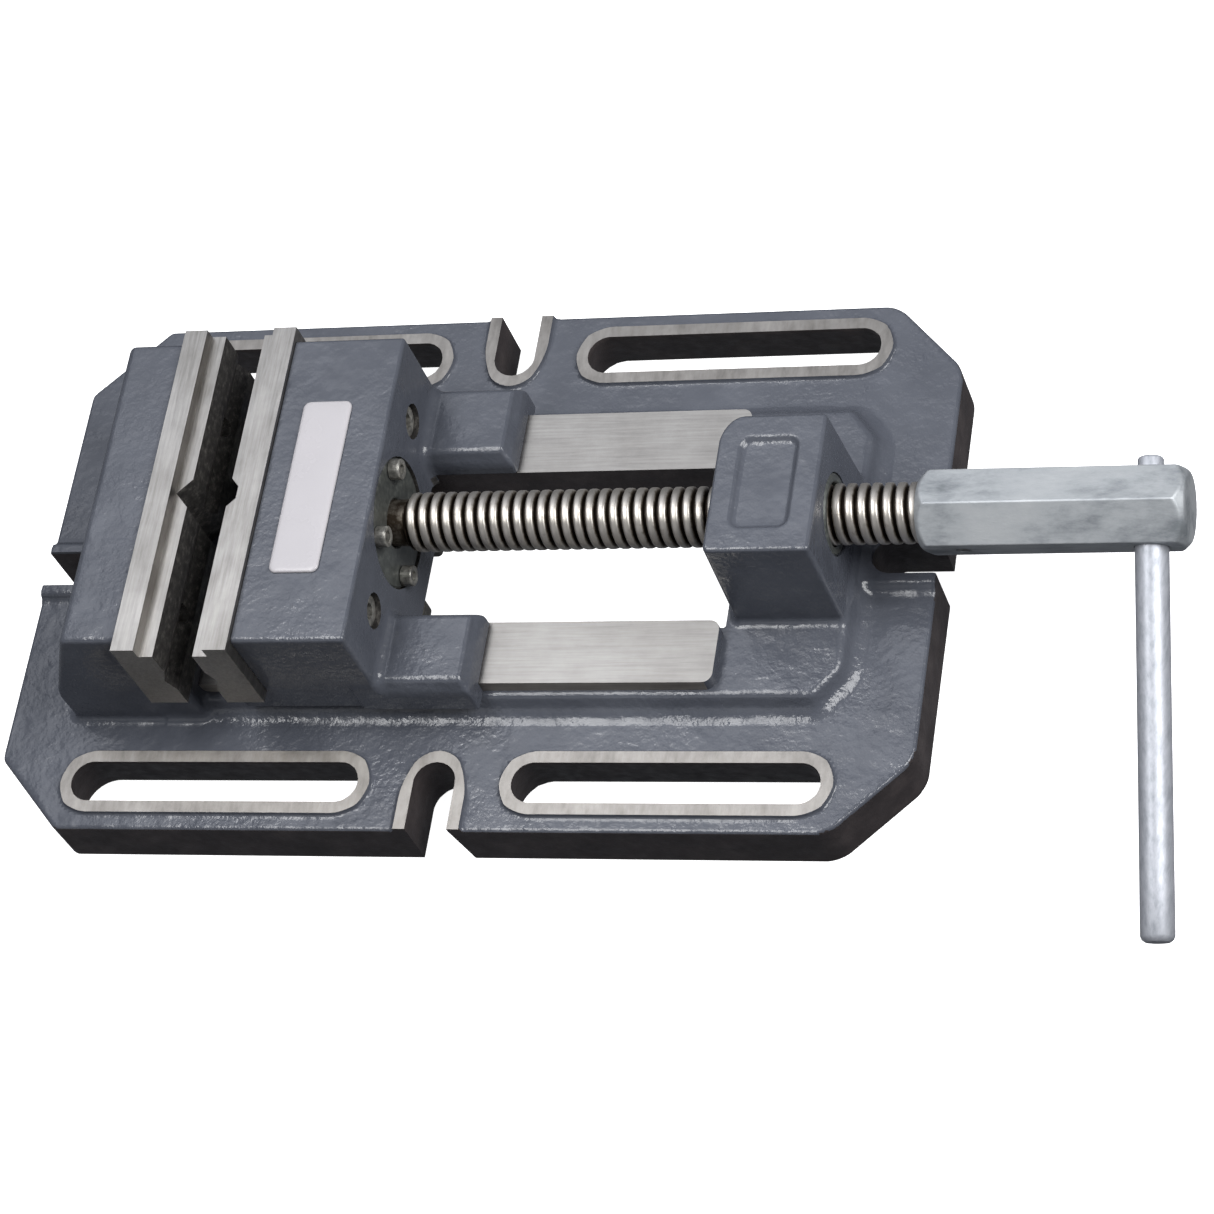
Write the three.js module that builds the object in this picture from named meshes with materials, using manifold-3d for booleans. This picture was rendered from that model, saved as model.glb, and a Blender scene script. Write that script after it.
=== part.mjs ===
// Slotted-base machine vise, 150 mm jaws.
// Millimetres. +X runs along the screw from the jaws to the handle, +Y to the far rail, +Z up.
// The origin lies on the underside of the base, below the clamping face of the fixed jaw plate,
// on the centre line of the screw.
import * as THREE from 'three';
import { mergeVertices } from 'three/addons/utils/BufferGeometryUtils.js';
import Module from 'manifold-3d';

const wasm = await Module();
wasm.setup();

// ---------------------------------------------------------------- driving dimensions
// Base plate
const baseLength = 386;
const baseWidth = 240;
const plateThickness = 23.7;
const baseRearOverhang = 90.4; // base end to the clamping face of the fixed jaw plate
const cornerCutX = 30.7;
const cornerCutY = 31.5;
const cornerSetback = 4; // small facet that softens each corner of the outline

// Bolt slots
const slotHalfWidth = 8.8;
const slotLength = 125.5;
const slotPitchX = 190.4; // centre to centre of the two slots along one edge
const slotEdgeDistance = 20.6; // slot centre line to the long edge of the base
const rimWidth = 5.1;
const rimHeight = 1.8;
const endSlotHalfWidth = 8;
const endSlotDepth = 26.6;
const endLipWidth = 5.2;
const endLipHeight = 3.3;

// Ways
const wayInner = 34.8;
const wayOuter = 62.3;
const wayTop = 38.6;
const wayLedgeOuter = 64.7;
const wayLedgeTop = 32.4;
const wayFrontEnd = 215.1;
const wayCornerCut = 5;
const waySkirtFoot = 4.6; // how far the way casting spreads at the plate
const windowStart = 14;
const keeperChannelOuter = 58;
const keeperChannelTop = 19.2;

// Fixed jaw
const jawBodyWidth = 140;
const fixedJawAboveScrew = 29.8;
const fixedJawTopDepth = 24; // back face at the top, behind the plate seat
const fixedJawSlopeRun = 20.4;
const fixedJawSlopeEnd = 44;

// Jaw plates
const jawPlateLength = 150;
const jawPlateThickness = 16.1;
const jawPlateAboveScrew = 31.5;
const jawPlateHeight = 43.3;
const jawStepWidth = 6.2;
const jawStepDrop = 5.3;
const jawGrooveHeight = 14;
const jawGrooveDepth = 2.8;
const jawGrooveBelowTop = 25.3;
const jawNotchWidth = 13;
const jawNotchDepth = 6;
const jawOpening = 17.2;
const seatLedgeSetback = 1.5;

// Movable jaw
const movableJawDepth = 47.4;
const movableJawAboveScrew = 29.1;
const tongueBottom = 19;
const skirtBottom = 33;
const wingLength = 38.4;
const wingOuter = 70.8;
const wingTop = 51;
const wingBevelHeight = 6.6;
const wingBevelRun = 3.7;

// Lead screw
const screwHeight = 58.8;
const threadRadius = 12;
const threadRoot = 9.4;
const threadPitch = 5;
const threadCrest = 2.2;
const threadFlank = 0.6;
const threadSteps = 12;
const neckRadius = 9.4;
const neckExposed = 6.6;
const collarRadius = 16;
const collarThickness = 7;
const noseRadius = 9;
const noseLength = 16;
const spigotRadius = 9.2;
const spigotLength = 30;

// Retainer disc and its screws
const retainerRadius = 26.3;
const retainerThickness = 5;
const retainerSink = 0.9;
const retainerScrewCircle = 22;

// Nut housing
const housingStart = 219.1;
const housingLength = 42.2;
const housingHalfWidth = 30.4;
const housingAboveScrew = 25.5;
const housingDraft = 2.5;
const housingCutX = 5.8;
const housingCutY = 7.5;
const housingPocketDepth = 2;
const housingPocketMargin = 9.5;
const footHalfWidth = 64.5;
const footOverhang = 2.3;
const footCutX = 9.8;
const footCutY = 12;
const footTop = 32.4;
const nutRadius = 16;
const nutProud = 1;

// Handle
const hubAcrossFlats = 30;
const hubLength = 103.5;
const hubStandoff = 35.1; // hub to the front face of the nut housing, jaws at rest
const hubChamfer = 2.4;
const hubRoll = 18.5; // degrees that the bar hangs below the horizontal
const barRadius = 6.5;
const barReach = 163.5;
const barTipRadius = 5;
const barTipReach = 19.9;
const barShoulder = 11;
const barFromHubEnd = 14.9;
const barLean = 2.3; // degrees of lean taken up by the loose hole
const grubFromHubStart = 17;

// Keepers
const keeperLength = 48;
const keeperThickness = 8;
const keeperInner = 12;
const keeperReach = 57.5;
const keeperScrewPitch = 26;
const keeperScrewY = 22;

// Jaw plate screws
const plateScrewY = 44;

// Name plate
const labelLength = 79;
const labelWidth = 20.8;
const labelThickness = 1.2;
const labelCorner = 2.5;

// Fits
const slideClearance = 0.3;
const seatGap = 0.2;
const holeClearance = 0.3;
const threadClearance = 0.35;

// Socket head cap screws: shank radius, head radius, head height, key size across flats
const M5 = { shank: 2.5, head: 4.25, height: 5, key: 4 };
const M6 = { shank: 3, head: 5, height: 6, key: 5 };
const M8 = { shank: 4, head: 6.5, height: 8, key: 6 };

// ---------------------------------------------------------------- derived sizes
const halfWidth = baseWidth / 2;
const baseX0 = -baseRearOverhang;
const baseX1 = baseX0 + baseLength;
const baseMidX = (baseX0 + baseX1) / 2;
const slotY = halfWidth - slotEdgeDistance;
const halfSlot = slotLength / 2;
const jawPlateTop = screwHeight + jawPlateAboveScrew;
const jawPlateBottom = jawPlateTop - jawPlateHeight;
const jawGrooveCentre = jawPlateTop - jawGrooveBelowTop;
const plateScrewZ = jawGrooveCentre;
const fixedJawTop = screwHeight + fixedJawAboveScrew;
const movableJawTop = screwHeight + movableJawAboveScrew;
const housingTop = screwHeight + housingAboveScrew;
const fixedSeatX = -jawPlateThickness - seatGap;
const fixedBackX = fixedSeatX - fixedJawTopDepth;
const fixedFootX = fixedBackX - fixedJawSlopeRun;
const movablePlateX0 = jawOpening;
const movableSeatX = movablePlateX0 + jawPlateThickness + seatGap;
const movableBackX = movableSeatX + movableJawDepth;
const halfJaw = jawBodyWidth / 2;
const tongueHalf = wayInner - slideClearance;
const housingEnd = housingStart + housingLength;
const windowEnd = housingStart - 3.6;
const discFront = movableBackX - retainerSink;
const discBack = discFront - retainerThickness;
const collarFront = discBack - slideClearance;
const collarBack = collarFront - collarThickness;
const noseEnd = collarBack - noseLength;
const threadStart = discFront + neckExposed;
const hubX0 = housingEnd + hubStandoff;
const hubX1 = hubX0 + hubLength;
const barX = hubX1 - barFromHubEnd;
const threadEnd = hubX0 - seatGap;
const movableMidX = (movableSeatX + movableBackX) / 2;
const keeperTop = tongueBottom - seatGap;
const keeperBottom = keeperTop - keeperThickness;
const footEnd = housingEnd + footOverhang;
const endSlotFront = baseX1 - endSlotDepth;
const endSlotRear = baseX0 + endSlotDepth;

// ---------------------------------------------------------------- shape helpers
function toSolid(geometry) {
  const bare = geometry.index ? geometry.toNonIndexed() : geometry.clone();
  bare.deleteAttribute('normal');
  bare.deleteAttribute('uv');
  const merged = mergeVertices(bare, 1e-4);
  const p = merged.attributes.position.array;
  const src = merged.index.array;
  const tris = [];
  let volume = 0;
  for (let i = 0; i < src.length; i += 3) {
    const a = src[i];
    const b = src[i + 1];
    const c = src[i + 2];
    if (a === b || b === c || c === a) continue;
    tris.push(a, b, c);
    volume += p[3 * a] * (p[3 * b + 1] * p[3 * c + 2] - p[3 * b + 2] * p[3 * c + 1]);
    volume += p[3 * a + 1] * (p[3 * b + 2] * p[3 * c] - p[3 * b] * p[3 * c + 2]);
    volume += p[3 * a + 2] * (p[3 * b] * p[3 * c + 1] - p[3 * b + 1] * p[3 * c]);
  }
  if (volume < 0) tris.reverse();
  return new wasm.Manifold(new wasm.Mesh({
    numProp: 3,
    vertProperties: Float32Array.from(p),
    triVerts: Uint32Array.from(tris),
  }));
}

function join(...solids) {
  return solids.reduce((sum, next) => sum.add(next));
}

function cut(solid, ...tools) {
  return tools.reduce((rest, tool) => rest.subtract(tool), solid);
}

// A closed outline [[u, v], ...] extruded along Z, X or Y between two levels.
function extrude(outline, from, to, axis = 'z') {
  const shape = new THREE.Shape(outline.map(([u, v]) => new THREE.Vector2(u, v)));
  const geometry = new THREE.ExtrudeGeometry(shape, { depth: to - from, bevelEnabled: false });
  const frame = new THREE.Matrix4();
  if (axis === 'x') {
    frame.makeBasis(new THREE.Vector3(0, 1, 0), new THREE.Vector3(0, 0, 1), new THREE.Vector3(1, 0, 0));
    frame.setPosition(from, 0, 0);
  } else if (axis === 'y') {
    frame.makeBasis(new THREE.Vector3(1, 0, 0), new THREE.Vector3(0, 0, 1), new THREE.Vector3(0, -1, 0));
    frame.setPosition(0, to, 0);
  } else {
    frame.setPosition(0, 0, from);
  }
  return toSolid(geometry.applyMatrix4(frame));
}

function box(x0, x1, y0, y1, z0, z1) {
  const geometry = new THREE.BoxGeometry(x1 - x0, y1 - y0, z1 - z0);
  return toSolid(geometry.translate((x0 + x1) / 2, (y0 + y1) / 2, (z0 + z1) / 2));
}

// A solid skinned over convex rings of points, the same number in each.
function skin(rings) {
  const n = rings[0].length;
  const points = rings.flat();
  const faces = [];
  for (let r = 0; r + 1 < rings.length; r += 1) {
    for (let i = 0; i < n; i += 1) {
      const j = (i + 1) % n;
      const a = r * n + i;
      const b = r * n + j;
      faces.push(a, b, b + n, a, b + n, a + n);
    }
  }
  const last = (rings.length - 1) * n;
  for (let i = 1; i + 1 < n; i += 1) {
    faces.push(0, i + 1, i, last, last + i, last + i + 1);
  }
  const geometry = new THREE.BufferGeometry();
  geometry.setAttribute('position', new THREE.Float32BufferAttribute(points.flat(), 3));
  geometry.setIndex(faces);
  return toSolid(geometry);
}

function rectangle(x0, x1, y0, y1) {
  return [[x0, y0], [x1, y0], [x1, y1], [x0, y1]];
}

function cutRectangle(x0, x1, y0, y1, cx, cy) {
  return [
    [x0 + cx, y0], [x1 - cx, y0], [x1, y0 + cy], [x1, y1 - cy],
    [x1 - cx, y1], [x0 + cx, y1], [x0, y1 - cy], [x0, y0 + cy],
  ];
}

// Each corner of an outline replaced by a short facet.
function softened(outline, setback) {
  const soft = [];
  outline.forEach((point, i) => {
    const here = new THREE.Vector2(...point);
    const before = new THREE.Vector2(...outline[(i + outline.length - 1) % outline.length]);
    const after = new THREE.Vector2(...outline[(i + 1) % outline.length]);
    const back = before.sub(here).setLength(setback).add(here);
    const ahead = after.sub(here).setLength(setback).add(here);
    soft.push([back.x, back.y], [ahead.x, ahead.y]);
  });
  return soft;
}

// A slot outline with round ends between two end centres on one line parallel to X or Y.
function slotOutline(ax, ay, bx, by, radius, steps = 10) {
  const along = Math.atan2(by - ay, bx - ax);
  const outline = [];
  for (let i = 0; i <= steps; i += 1) {
    const t = along - Math.PI / 2 + (Math.PI * i) / steps;
    outline.push([bx + radius * Math.cos(t), by + radius * Math.sin(t)]);
  }
  for (let i = 0; i <= steps; i += 1) {
    const t = along + Math.PI / 2 + (Math.PI * i) / steps;
    outline.push([ax + radius * Math.cos(t), ay + radius * Math.sin(t)]);
  }
  return outline;
}

// A profile [[x, radius], ...] turned about an axis parallel to X through (y, z).
function turned(profile, y, z, steps = 24) {
  const first = [profile[0][0], 0];
  const last = [profile[profile.length - 1][0], 0];
  const points = [first, ...profile, last].map(([x, r]) => new THREE.Vector2(r, x));
  const geometry = new THREE.LatheGeometry(points, steps);
  geometry.rotateZ(-Math.PI / 2);
  return toSolid(geometry.translate(0, y, z));
}

function hexagon(acrossFlats, faceAngle) {
  const outline = [];
  for (let i = 0; i < 6; i += 1) {
    const t = faceAngle + Math.PI / 6 + (i * Math.PI) / 3;
    const r = acrossFlats / Math.sqrt(3);
    outline.push([r * Math.cos(t), r * Math.sin(t)]);
  }
  return outline;
}

// A socket head cap screw along +X: the underside of its head at x = 0, its tip at -length.
function capScrew(size, length) {
  const blank = turned([
    [-length, size.shank - 0.5], [-length + 0.5, size.shank], [0, size.shank],
    [0, size.head], [size.height - 0.5, size.head], [size.height, size.head - 0.5],
  ], 0, 0, 16);
  const socket = extrude(hexagon(size.key, 0), size.height - size.key * 0.6, size.height + 1, 'x');
  return cut(blank, socket);
}

// A solid rod with a trapezoidal right-hand thread, longer at both ends than asked.
function threadedRod(x0, x1, root, crest, crestWidth, flank) {
  const profile = [
    [-crestWidth / 2, crest], [crestWidth / 2, crest],
    [crestWidth / 2 + flank, root], [threadPitch - crestWidth / 2 - flank, root],
  ];
  const firstTurn = Math.floor(x0 / threadPitch) - 2;
  const turns = Math.ceil(x1 / threadPitch) + 2 - firstTurn;
  const rows = turns * threadSteps;
  const points = [];
  for (let s = 0; s <= rows; s += 1) {
    const angle = (2 * Math.PI * s) / threadSteps;
    const base = (firstTurn + s / threadSteps) * threadPitch;
    profile.forEach(([dx, r]) => {
      points.push(base + dx, -r * Math.sin(angle), screwHeight + r * Math.cos(angle));
    });
  }
  const n = profile.length;
  const at = (s, p) => (p < n ? s * n + p : (s + threadSteps) * n + p - n);
  const faces = [];
  for (let s = 0; s < rows; s += 1) {
    for (let p = 0; p < n; p += 1) {
      if (p === n - 1 && s + 1 + threadSteps > rows) continue;
      faces.push(at(s, p), at(s, p + 1), at(s + 1, p + 1), at(s, p), at(s + 1, p + 1), at(s + 1, p));
    }
  }
  // Each end is closed by a fan from a point on the axis.
  const loopStart = [];
  for (let s = 0; s <= threadSteps; s += 1) loopStart.push(at(s, 0));
  for (let p = n - 1; p > 0; p -= 1) loopStart.push(at(0, p));
  const loopEnd = [];
  for (let s = rows - threadSteps; s <= rows; s += 1) loopEnd.push(at(s, n - 1));
  for (let p = n - 2; p >= 0; p -= 1) loopEnd.push(at(rows, p));
  const startHub = points.length / 3;
  points.push((firstTurn - 1) * threadPitch, 0, screwHeight);
  const endHub = points.length / 3;
  points.push((firstTurn + turns + 2) * threadPitch, 0, screwHeight);
  loopStart.forEach((v, i) => faces.push(startHub, v, loopStart[(i + 1) % loopStart.length]));
  loopEnd.forEach((v, i) => faces.push(endHub, loopEnd[(i + 1) % loopEnd.length], v));
  const geometry = new THREE.BufferGeometry();
  geometry.setAttribute('position', new THREE.Float32BufferAttribute(points, 3));
  geometry.setIndex(faces);
  return toSolid(geometry);
}

// ---------------------------------------------------------------- scene helpers
const vise = new THREE.Group();
vise.name = 'machine_vise';

function material(color, roughness, metalness) {
  return new THREE.MeshStandardMaterial({ color, roughness, metalness });
}

function addMesh(name, solid, look) {
  const result = solid.getMesh();
  const geometry = new THREE.BufferGeometry();
  geometry.setAttribute('position', new THREE.Float32BufferAttribute(result.vertProperties, 3));
  geometry.setIndex(new THREE.Uint32BufferAttribute(result.triVerts, 1));
  geometry.computeVertexNormals();
  const mesh = new THREE.Mesh(geometry, look);
  mesh.name = name;
  vise.add(mesh);
  return mesh;
}

const enamel = () => material(0x60646f, 0.3, 0);
const groundSteel = () => material(0xb4b2ae, 0.35, 1);
const darkSteel = () => material(0x3c3d3c, 0.45, 1);
const brightSteel = () => material(0xbdbab4, 0.28, 1);
const platedSteel = () => material(0xb9bdc0, 0.4, 1);

const sides = [['near', -1], ['far', 1]];

// ---------------------------------------------------------------- base casting
function basePlate() {
  const outline = cutRectangle(baseX0, baseX1, -halfWidth, halfWidth, cornerCutX, cornerCutY);
  return extrude(softened(outline, cornerSetback), 0, plateThickness);
}

// A rim stands on the plate around each slot; its ends are cut back to flats.
function longRim(cx, cy) {
  const r = slotHalfWidth + rimWidth;
  const h = halfSlot + rimWidth;
  const outline = cutRectangle(cx - h, cx + h, cy - r, cy + r, r * 0.62, r * 0.62);
  return extrude(softened(outline, 2.5), plateThickness - 1, plateThickness + rimHeight);
}

function baseCasting() {
  let solid = basePlate();
  const slots = [];
  for (const [, side] of sides) {
    const cy = side * slotY;
    const beyond = side * (halfWidth + 2 * slotHalfWidth);
    const edge = side * halfWidth;
    for (const end of [-1, 1]) {
      const cx = baseMidX + (end * slotPitchX) / 2;
      const reach = halfSlot - slotHalfWidth;
      solid = join(solid, longRim(cx, cy));
      slots.push(slotOutline(cx - reach, cy, cx + reach, cy, slotHalfWidth));
    }
    const r = slotHalfWidth + rimWidth;
    const rim = [
      [baseMidX - r, edge], [baseMidX - r, cy + side * 2], [baseMidX - r * 0.45, cy - side * r],
      [baseMidX + r * 0.45, cy - side * r], [baseMidX + r, cy + side * 2], [baseMidX + r, edge],
    ];
    if (side < 0) rim.reverse();
    solid = join(solid, extrude(rim, plateThickness - 1, plateThickness + rimHeight));
    slots.push(slotOutline(baseMidX, cy, baseMidX, beyond, slotHalfWidth));
  }

  // Slots through both ends, between low cast lips.
  const lipTop = plateThickness + endLipHeight;
  const lipHalf = endSlotHalfWidth + endLipWidth;
  for (const [x0, x1] of [[baseX0, fixedFootX + 1], [footEnd - 1, baseX1]]) {
    const lip = skin([
      [[x0, -lipHalf - 3, plateThickness - 1], [x1, -lipHalf - 3, plateThickness - 1],
        [x1, lipHalf + 3, plateThickness - 1], [x0, lipHalf + 3, plateThickness - 1]],
      [[x0, -lipHalf + 1, lipTop], [x1, -lipHalf + 1, lipTop],
        [x1, lipHalf - 1, lipTop], [x0, lipHalf - 1, lipTop]],
    ]);
    solid = join(solid, lip);
  }

  // Ways: a cast ledge with sloping outer walls, then the machined strip.
  const windowTools = [];
  for (const [, side] of sides) {
    const section = [
      [side * wayInner, 1], [side * wayInner, wayLedgeTop], [side * wayLedgeOuter, wayLedgeTop],
      [side * (wayLedgeOuter + waySkirtFoot), plateThickness - 0.5], [side * (wayLedgeOuter + waySkirtFoot), 1],
    ];
    if (side > 0) section.reverse();
    solid = join(solid, extrude(section, fixedSeatX, wayFrontEnd + 2, 'x'));
    const strip = [
      [fixedSeatX, side * wayInner], [wayFrontEnd - wayCornerCut, side * wayInner],
      [wayFrontEnd, side * (wayInner + wayCornerCut)], [wayFrontEnd, side * (wayOuter - wayCornerCut)],
      [wayFrontEnd - wayCornerCut, side * wayOuter], [fixedSeatX, side * wayOuter],
    ];
    if (side < 0) strip.reverse();
    solid = join(solid, extrude(strip, wayLedgeTop - 1, wayTop));
    const y0 = Math.min(side * keeperChannelOuter, side * (wayInner - 1));
    const y1 = Math.max(side * keeperChannelOuter, side * (wayInner - 1));
    windowTools.push(box(windowStart - 8, windowEnd + 1.5, y0, y1, -1, keeperChannelTop));
  }

  // Foot and housing for the nut.
  const footOutline = (grow) => cutRectangle(
    wayFrontEnd - 4, footEnd + grow, -footHalfWidth - grow, footHalfWidth + grow, footCutX, footCutY,
  ).map(([x, y]) => [x < housingStart + 2 ? wayFrontEnd - 4 : x, y]);
  const footRing = (grow, z) => softened(footOutline(grow), 2.5).map(([x, y]) => [x, y, z]);
  const foot = skin([footRing(4.8, plateThickness - 1), footRing(0, footTop)]);
  const housingRing = (grow, z) => [
    [housingStart + housingCutX, -housingHalfWidth - grow, z], [housingEnd + grow, -housingHalfWidth - grow, z],
    [housingEnd + grow, housingHalfWidth + grow, z], [housingStart + housingCutX, housingHalfWidth + grow, z],
    [housingStart, housingHalfWidth + grow - housingCutY, z], [housingStart, -housingHalfWidth - grow + housingCutY, z],
  ];
  const housing = skin([housingRing(housingDraft, plateThickness - 1), housingRing(0, housingTop)]);
  const m = housingPocketMargin;
  const pocketOutline = cutRectangle(
    housingStart + m, housingEnd - m, -housingHalfWidth + m + 1, housingHalfWidth - m - 1, 3, 3,
  );
  const pocket = extrude(pocketOutline, housingTop - housingPocketDepth, housingTop + 1);
  const nutBore = turned([
    [housingStart - 1, nutRadius + holeClearance], [housingEnd + housingDraft + 1, nutRadius + holeClearance],
  ], 0, screwHeight, 32);
  solid = join(solid, foot, housing);

  // Fixed jaw, with a ledge below the jaw plate.
  const jawSection = [
    [fixedFootX, 1], [-seatLedgeSetback, 1], [-seatLedgeSetback, jawPlateBottom - seatGap],
    [fixedSeatX, jawPlateBottom - seatGap], [fixedSeatX, fixedJawTop], [fixedBackX, fixedJawTop],
    [fixedFootX, fixedJawSlopeEnd],
  ];
  solid = join(solid, extrude(jawSection, -halfJaw, halfJaw, 'y'));

  // Everything that is cut out.
  const window = extrude(
    cutRectangle(windowStart, windowEnd, -wayInner, wayInner, 3, 3), -1, wayTop + 1,
  );
  const wayRoom = box(-seatLedgeSetback, windowEnd, -wayInner, wayInner, wayLedgeTop - 8, housingTop);
  const endCuts = [
    slotOutline(baseX0 - 20, 0, endSlotRear - endSlotHalfWidth, 0, endSlotHalfWidth),
    slotOutline(endSlotFront + endSlotHalfWidth, 0, baseX1 + 20, 0, endSlotHalfWidth),
  ].map((outline) => extrude(outline, -1, lipTop + 1));
  const slotCuts = slots.map((outline) => extrude(outline, -1, plateThickness + rimHeight + 1));
  const plateHoles = sides.map(([, side]) => turned([
    [fixedFootX - 2, M8.head + 0.75], [fixedBackX, M8.head + 0.75],
    [fixedBackX, M8.shank + holeClearance], [fixedSeatX + 1, M8.shank + holeClearance],
  ], side * plateScrewY, plateScrewZ, 16));
  return cut(solid, window, wayRoom, ...windowTools, ...slotCuts, ...endCuts, pocket, nutBore, ...plateHoles);
}

addMesh('base_casting', baseCasting(), enamel());

// ---------------------------------------------------------------- jaw plates
// A jaw plate in its own frame: back at x = 0, clamping face at +thickness.
function jawPlate() {
  const t = jawPlateThickness;
  const top = jawPlateTop;
  const mid = jawGrooveCentre;
  const section = [
    [0, jawPlateBottom], [t, jawPlateBottom], [t, mid - jawGrooveHeight / 2],
    [t - jawGrooveDepth, mid], [t, mid + jawGrooveHeight / 2], [t, top - jawStepDrop],
    [t - jawStepWidth, top - jawStepDrop], [t - jawStepWidth, top], [0, top],
  ];
  const plate = extrude(section, -jawPlateLength / 2, jawPlateLength / 2, 'y');
  const notch = extrude([
    [t + 1, -jawNotchWidth / 2 - 1], [t + 1, jawNotchWidth / 2 + 1], [t - jawNotchDepth, 0],
  ], jawPlateBottom - 1, top - jawStepDrop + 0.01);
  const holes = sides.map(([, side]) => turned([
    [-1, M8.shank + holeClearance], [t + 1, M8.shank + holeClearance],
  ], side * plateScrewY, plateScrewZ, 16));
  return cut(plate, notch, ...holes);
}

addMesh('fixed_jaw_plate', jawPlate().translate(-jawPlateThickness, 0, 0), groundSteel());
addMesh(
  'movable_jaw_plate',
  jawPlate().rotate(0, 0, 180).translate(movablePlateX0 + jawPlateThickness, 0, 0),
  groundSteel(),
);

// ---------------------------------------------------------------- movable jaw
const screwSeats = [45, 135, 225, 315].map((degrees) => {
  const t = (degrees * Math.PI) / 180;
  return [retainerScrewCircle * Math.cos(t), screwHeight + retainerScrewCircle * Math.sin(t)];
});
const retainerScrewDepth = 13;
const plateHeadSeat = movableBackX - M8.height - 2;

function movableJawCasting() {
  const body = extrude([
    [movableSeatX, movableJawTop], [movableSeatX, jawPlateBottom - seatGap],
    [movablePlateX0 + seatLedgeSetback, jawPlateBottom - seatGap],
    [movablePlateX0 + seatLedgeSetback, skirtBottom], [movableBackX, skirtBottom],
    [movableBackX, movableJawTop],
  ].reverse(), -halfJaw, halfJaw, 'y');
  const tongue = box(movableSeatX, movableBackX, -tongueHalf, tongueHalf, tongueBottom, wayTop + 2);
  const wings = sides.map(([, side]) => {
    const ring = (x1, inner, outer, z) => {
      const a = side * inner;
      const b = side * outer;
      return [[movableBackX - 5, a, z], [x1, a, z], [x1, b, z], [movableBackX - 5, b, z]];
    };
    const endX = movableBackX + wingLength;
    const shoulder = wingTop - wingBevelHeight;
    return skin([
      ring(endX, tongueHalf, wingOuter, skirtBottom),
      ring(endX, tongueHalf, wingOuter, shoulder),
      ring(endX - wingBevelRun, tongueHalf + wingBevelRun, wingOuter - wingBevelRun, wingTop),
    ]);
  });
  const channels = sides.map(([, side]) => {
    const inner = side * tongueHalf;
    const outer = side * (wayOuter + slideClearance);
    return box(
      movablePlateX0 - 5, movableBackX + wingLength + 5,
      Math.min(inner, outer), Math.max(inner, outer), skirtBottom - 1, wayTop + slideClearance,
    );
  });
  const screwRoom = turned([
    [noseEnd - 1, noseRadius + holeClearance], [collarBack - slideClearance, noseRadius + holeClearance],
    [collarBack - slideClearance, collarRadius + 1], [discBack - seatGap, collarRadius + 1],
    [discBack - seatGap, retainerRadius + holeClearance], [movableBackX + 5, retainerRadius + holeClearance],
  ], 0, screwHeight, 32);
  const retainerHoles = screwSeats.map(([y, z]) => turned([
    [discBack - retainerScrewDepth, M5.shank + holeClearance], [discFront, M5.shank + holeClearance],
  ], y, z, 16));
  const plateHoles = sides.map(([, side]) => turned([
    [movableSeatX - 2, M8.shank + holeClearance], [plateHeadSeat, M8.shank + holeClearance],
    [plateHeadSeat, M8.head + 0.75], [movableBackX + 5, M8.head + 0.75],
  ], side * plateScrewY, plateScrewZ, 16));
  const keeperHoles = keeperScrewPlaces.map(([x, y]) => uprightHole(x, y, tongueBottom - 1, keeperScrewTip + 1));
  return cut(join(body, tongue, ...wings), ...channels, screwRoom, ...retainerHoles, ...plateHoles, ...keeperHoles);
}

const keeperScrewTip = tongueBottom + 13;
const keeperScrewPlaces = [];
for (const [, side] of sides) {
  for (const end of [-1, 1]) {
    keeperScrewPlaces.push([movableMidX + (end * keeperScrewPitch) / 2, side * keeperScrewY]);
  }
}

function uprightHole(x, y, z0, z1) {
  const hole = new THREE.CylinderGeometry(M6.shank + holeClearance, M6.shank + holeClearance, z1 - z0, 16);
  return toSolid(hole.rotateX(Math.PI / 2).translate(x, y, (z0 + z1) / 2));
}

addMesh('movable_jaw_casting', movableJawCasting(), enamel());

// ---------------------------------------------------------------- retainer disc
const disc = turned([
  [discBack, retainerRadius - 0.4], [discBack + 0.4, retainerRadius],
  [discFront - 0.6, retainerRadius], [discFront, retainerRadius - 0.6],
], 0, screwHeight, 40);
const neckHole = turned([[discBack - 1, neckRadius + holeClearance], [discFront + 1, neckRadius + holeClearance]], 0, screwHeight, 32);
const discHoles = screwSeats.map(([y, z]) => turned([
  [discBack - 1, M5.shank + holeClearance], [discFront + 1, M5.shank + holeClearance],
], y, z, 16));
addMesh('retainer_plate', cut(disc, neckHole, ...discHoles), darkSteel());

screwSeats.forEach(([y, z], i) => {
  const screw = capScrew(M5, retainerThickness + retainerScrewDepth - 1);
  addMesh(`retainer_screw_${i + 1}`, screw.translate(discFront + seatGap, y, z), darkSteel());
});

// ---------------------------------------------------------------- jaw plate screws
for (const [name, side] of sides) {
  const movableScrew = capScrew(M8, plateHeadSeat + seatGap - movablePlateX0 - 4);
  addMesh(
    `movable_plate_screw_${name}`,
    movableScrew.translate(plateHeadSeat + seatGap, side * plateScrewY, plateScrewZ),
    darkSteel(),
  );
  const fixedScrew = capScrew(M8, -fixedBackX + seatGap - 4);
  addMesh(
    `fixed_plate_screw_${name}`,
    fixedScrew.rotate(0, 0, 180).translate(fixedBackX - seatGap, side * plateScrewY, plateScrewZ),
    darkSteel(),
  );
}

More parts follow.
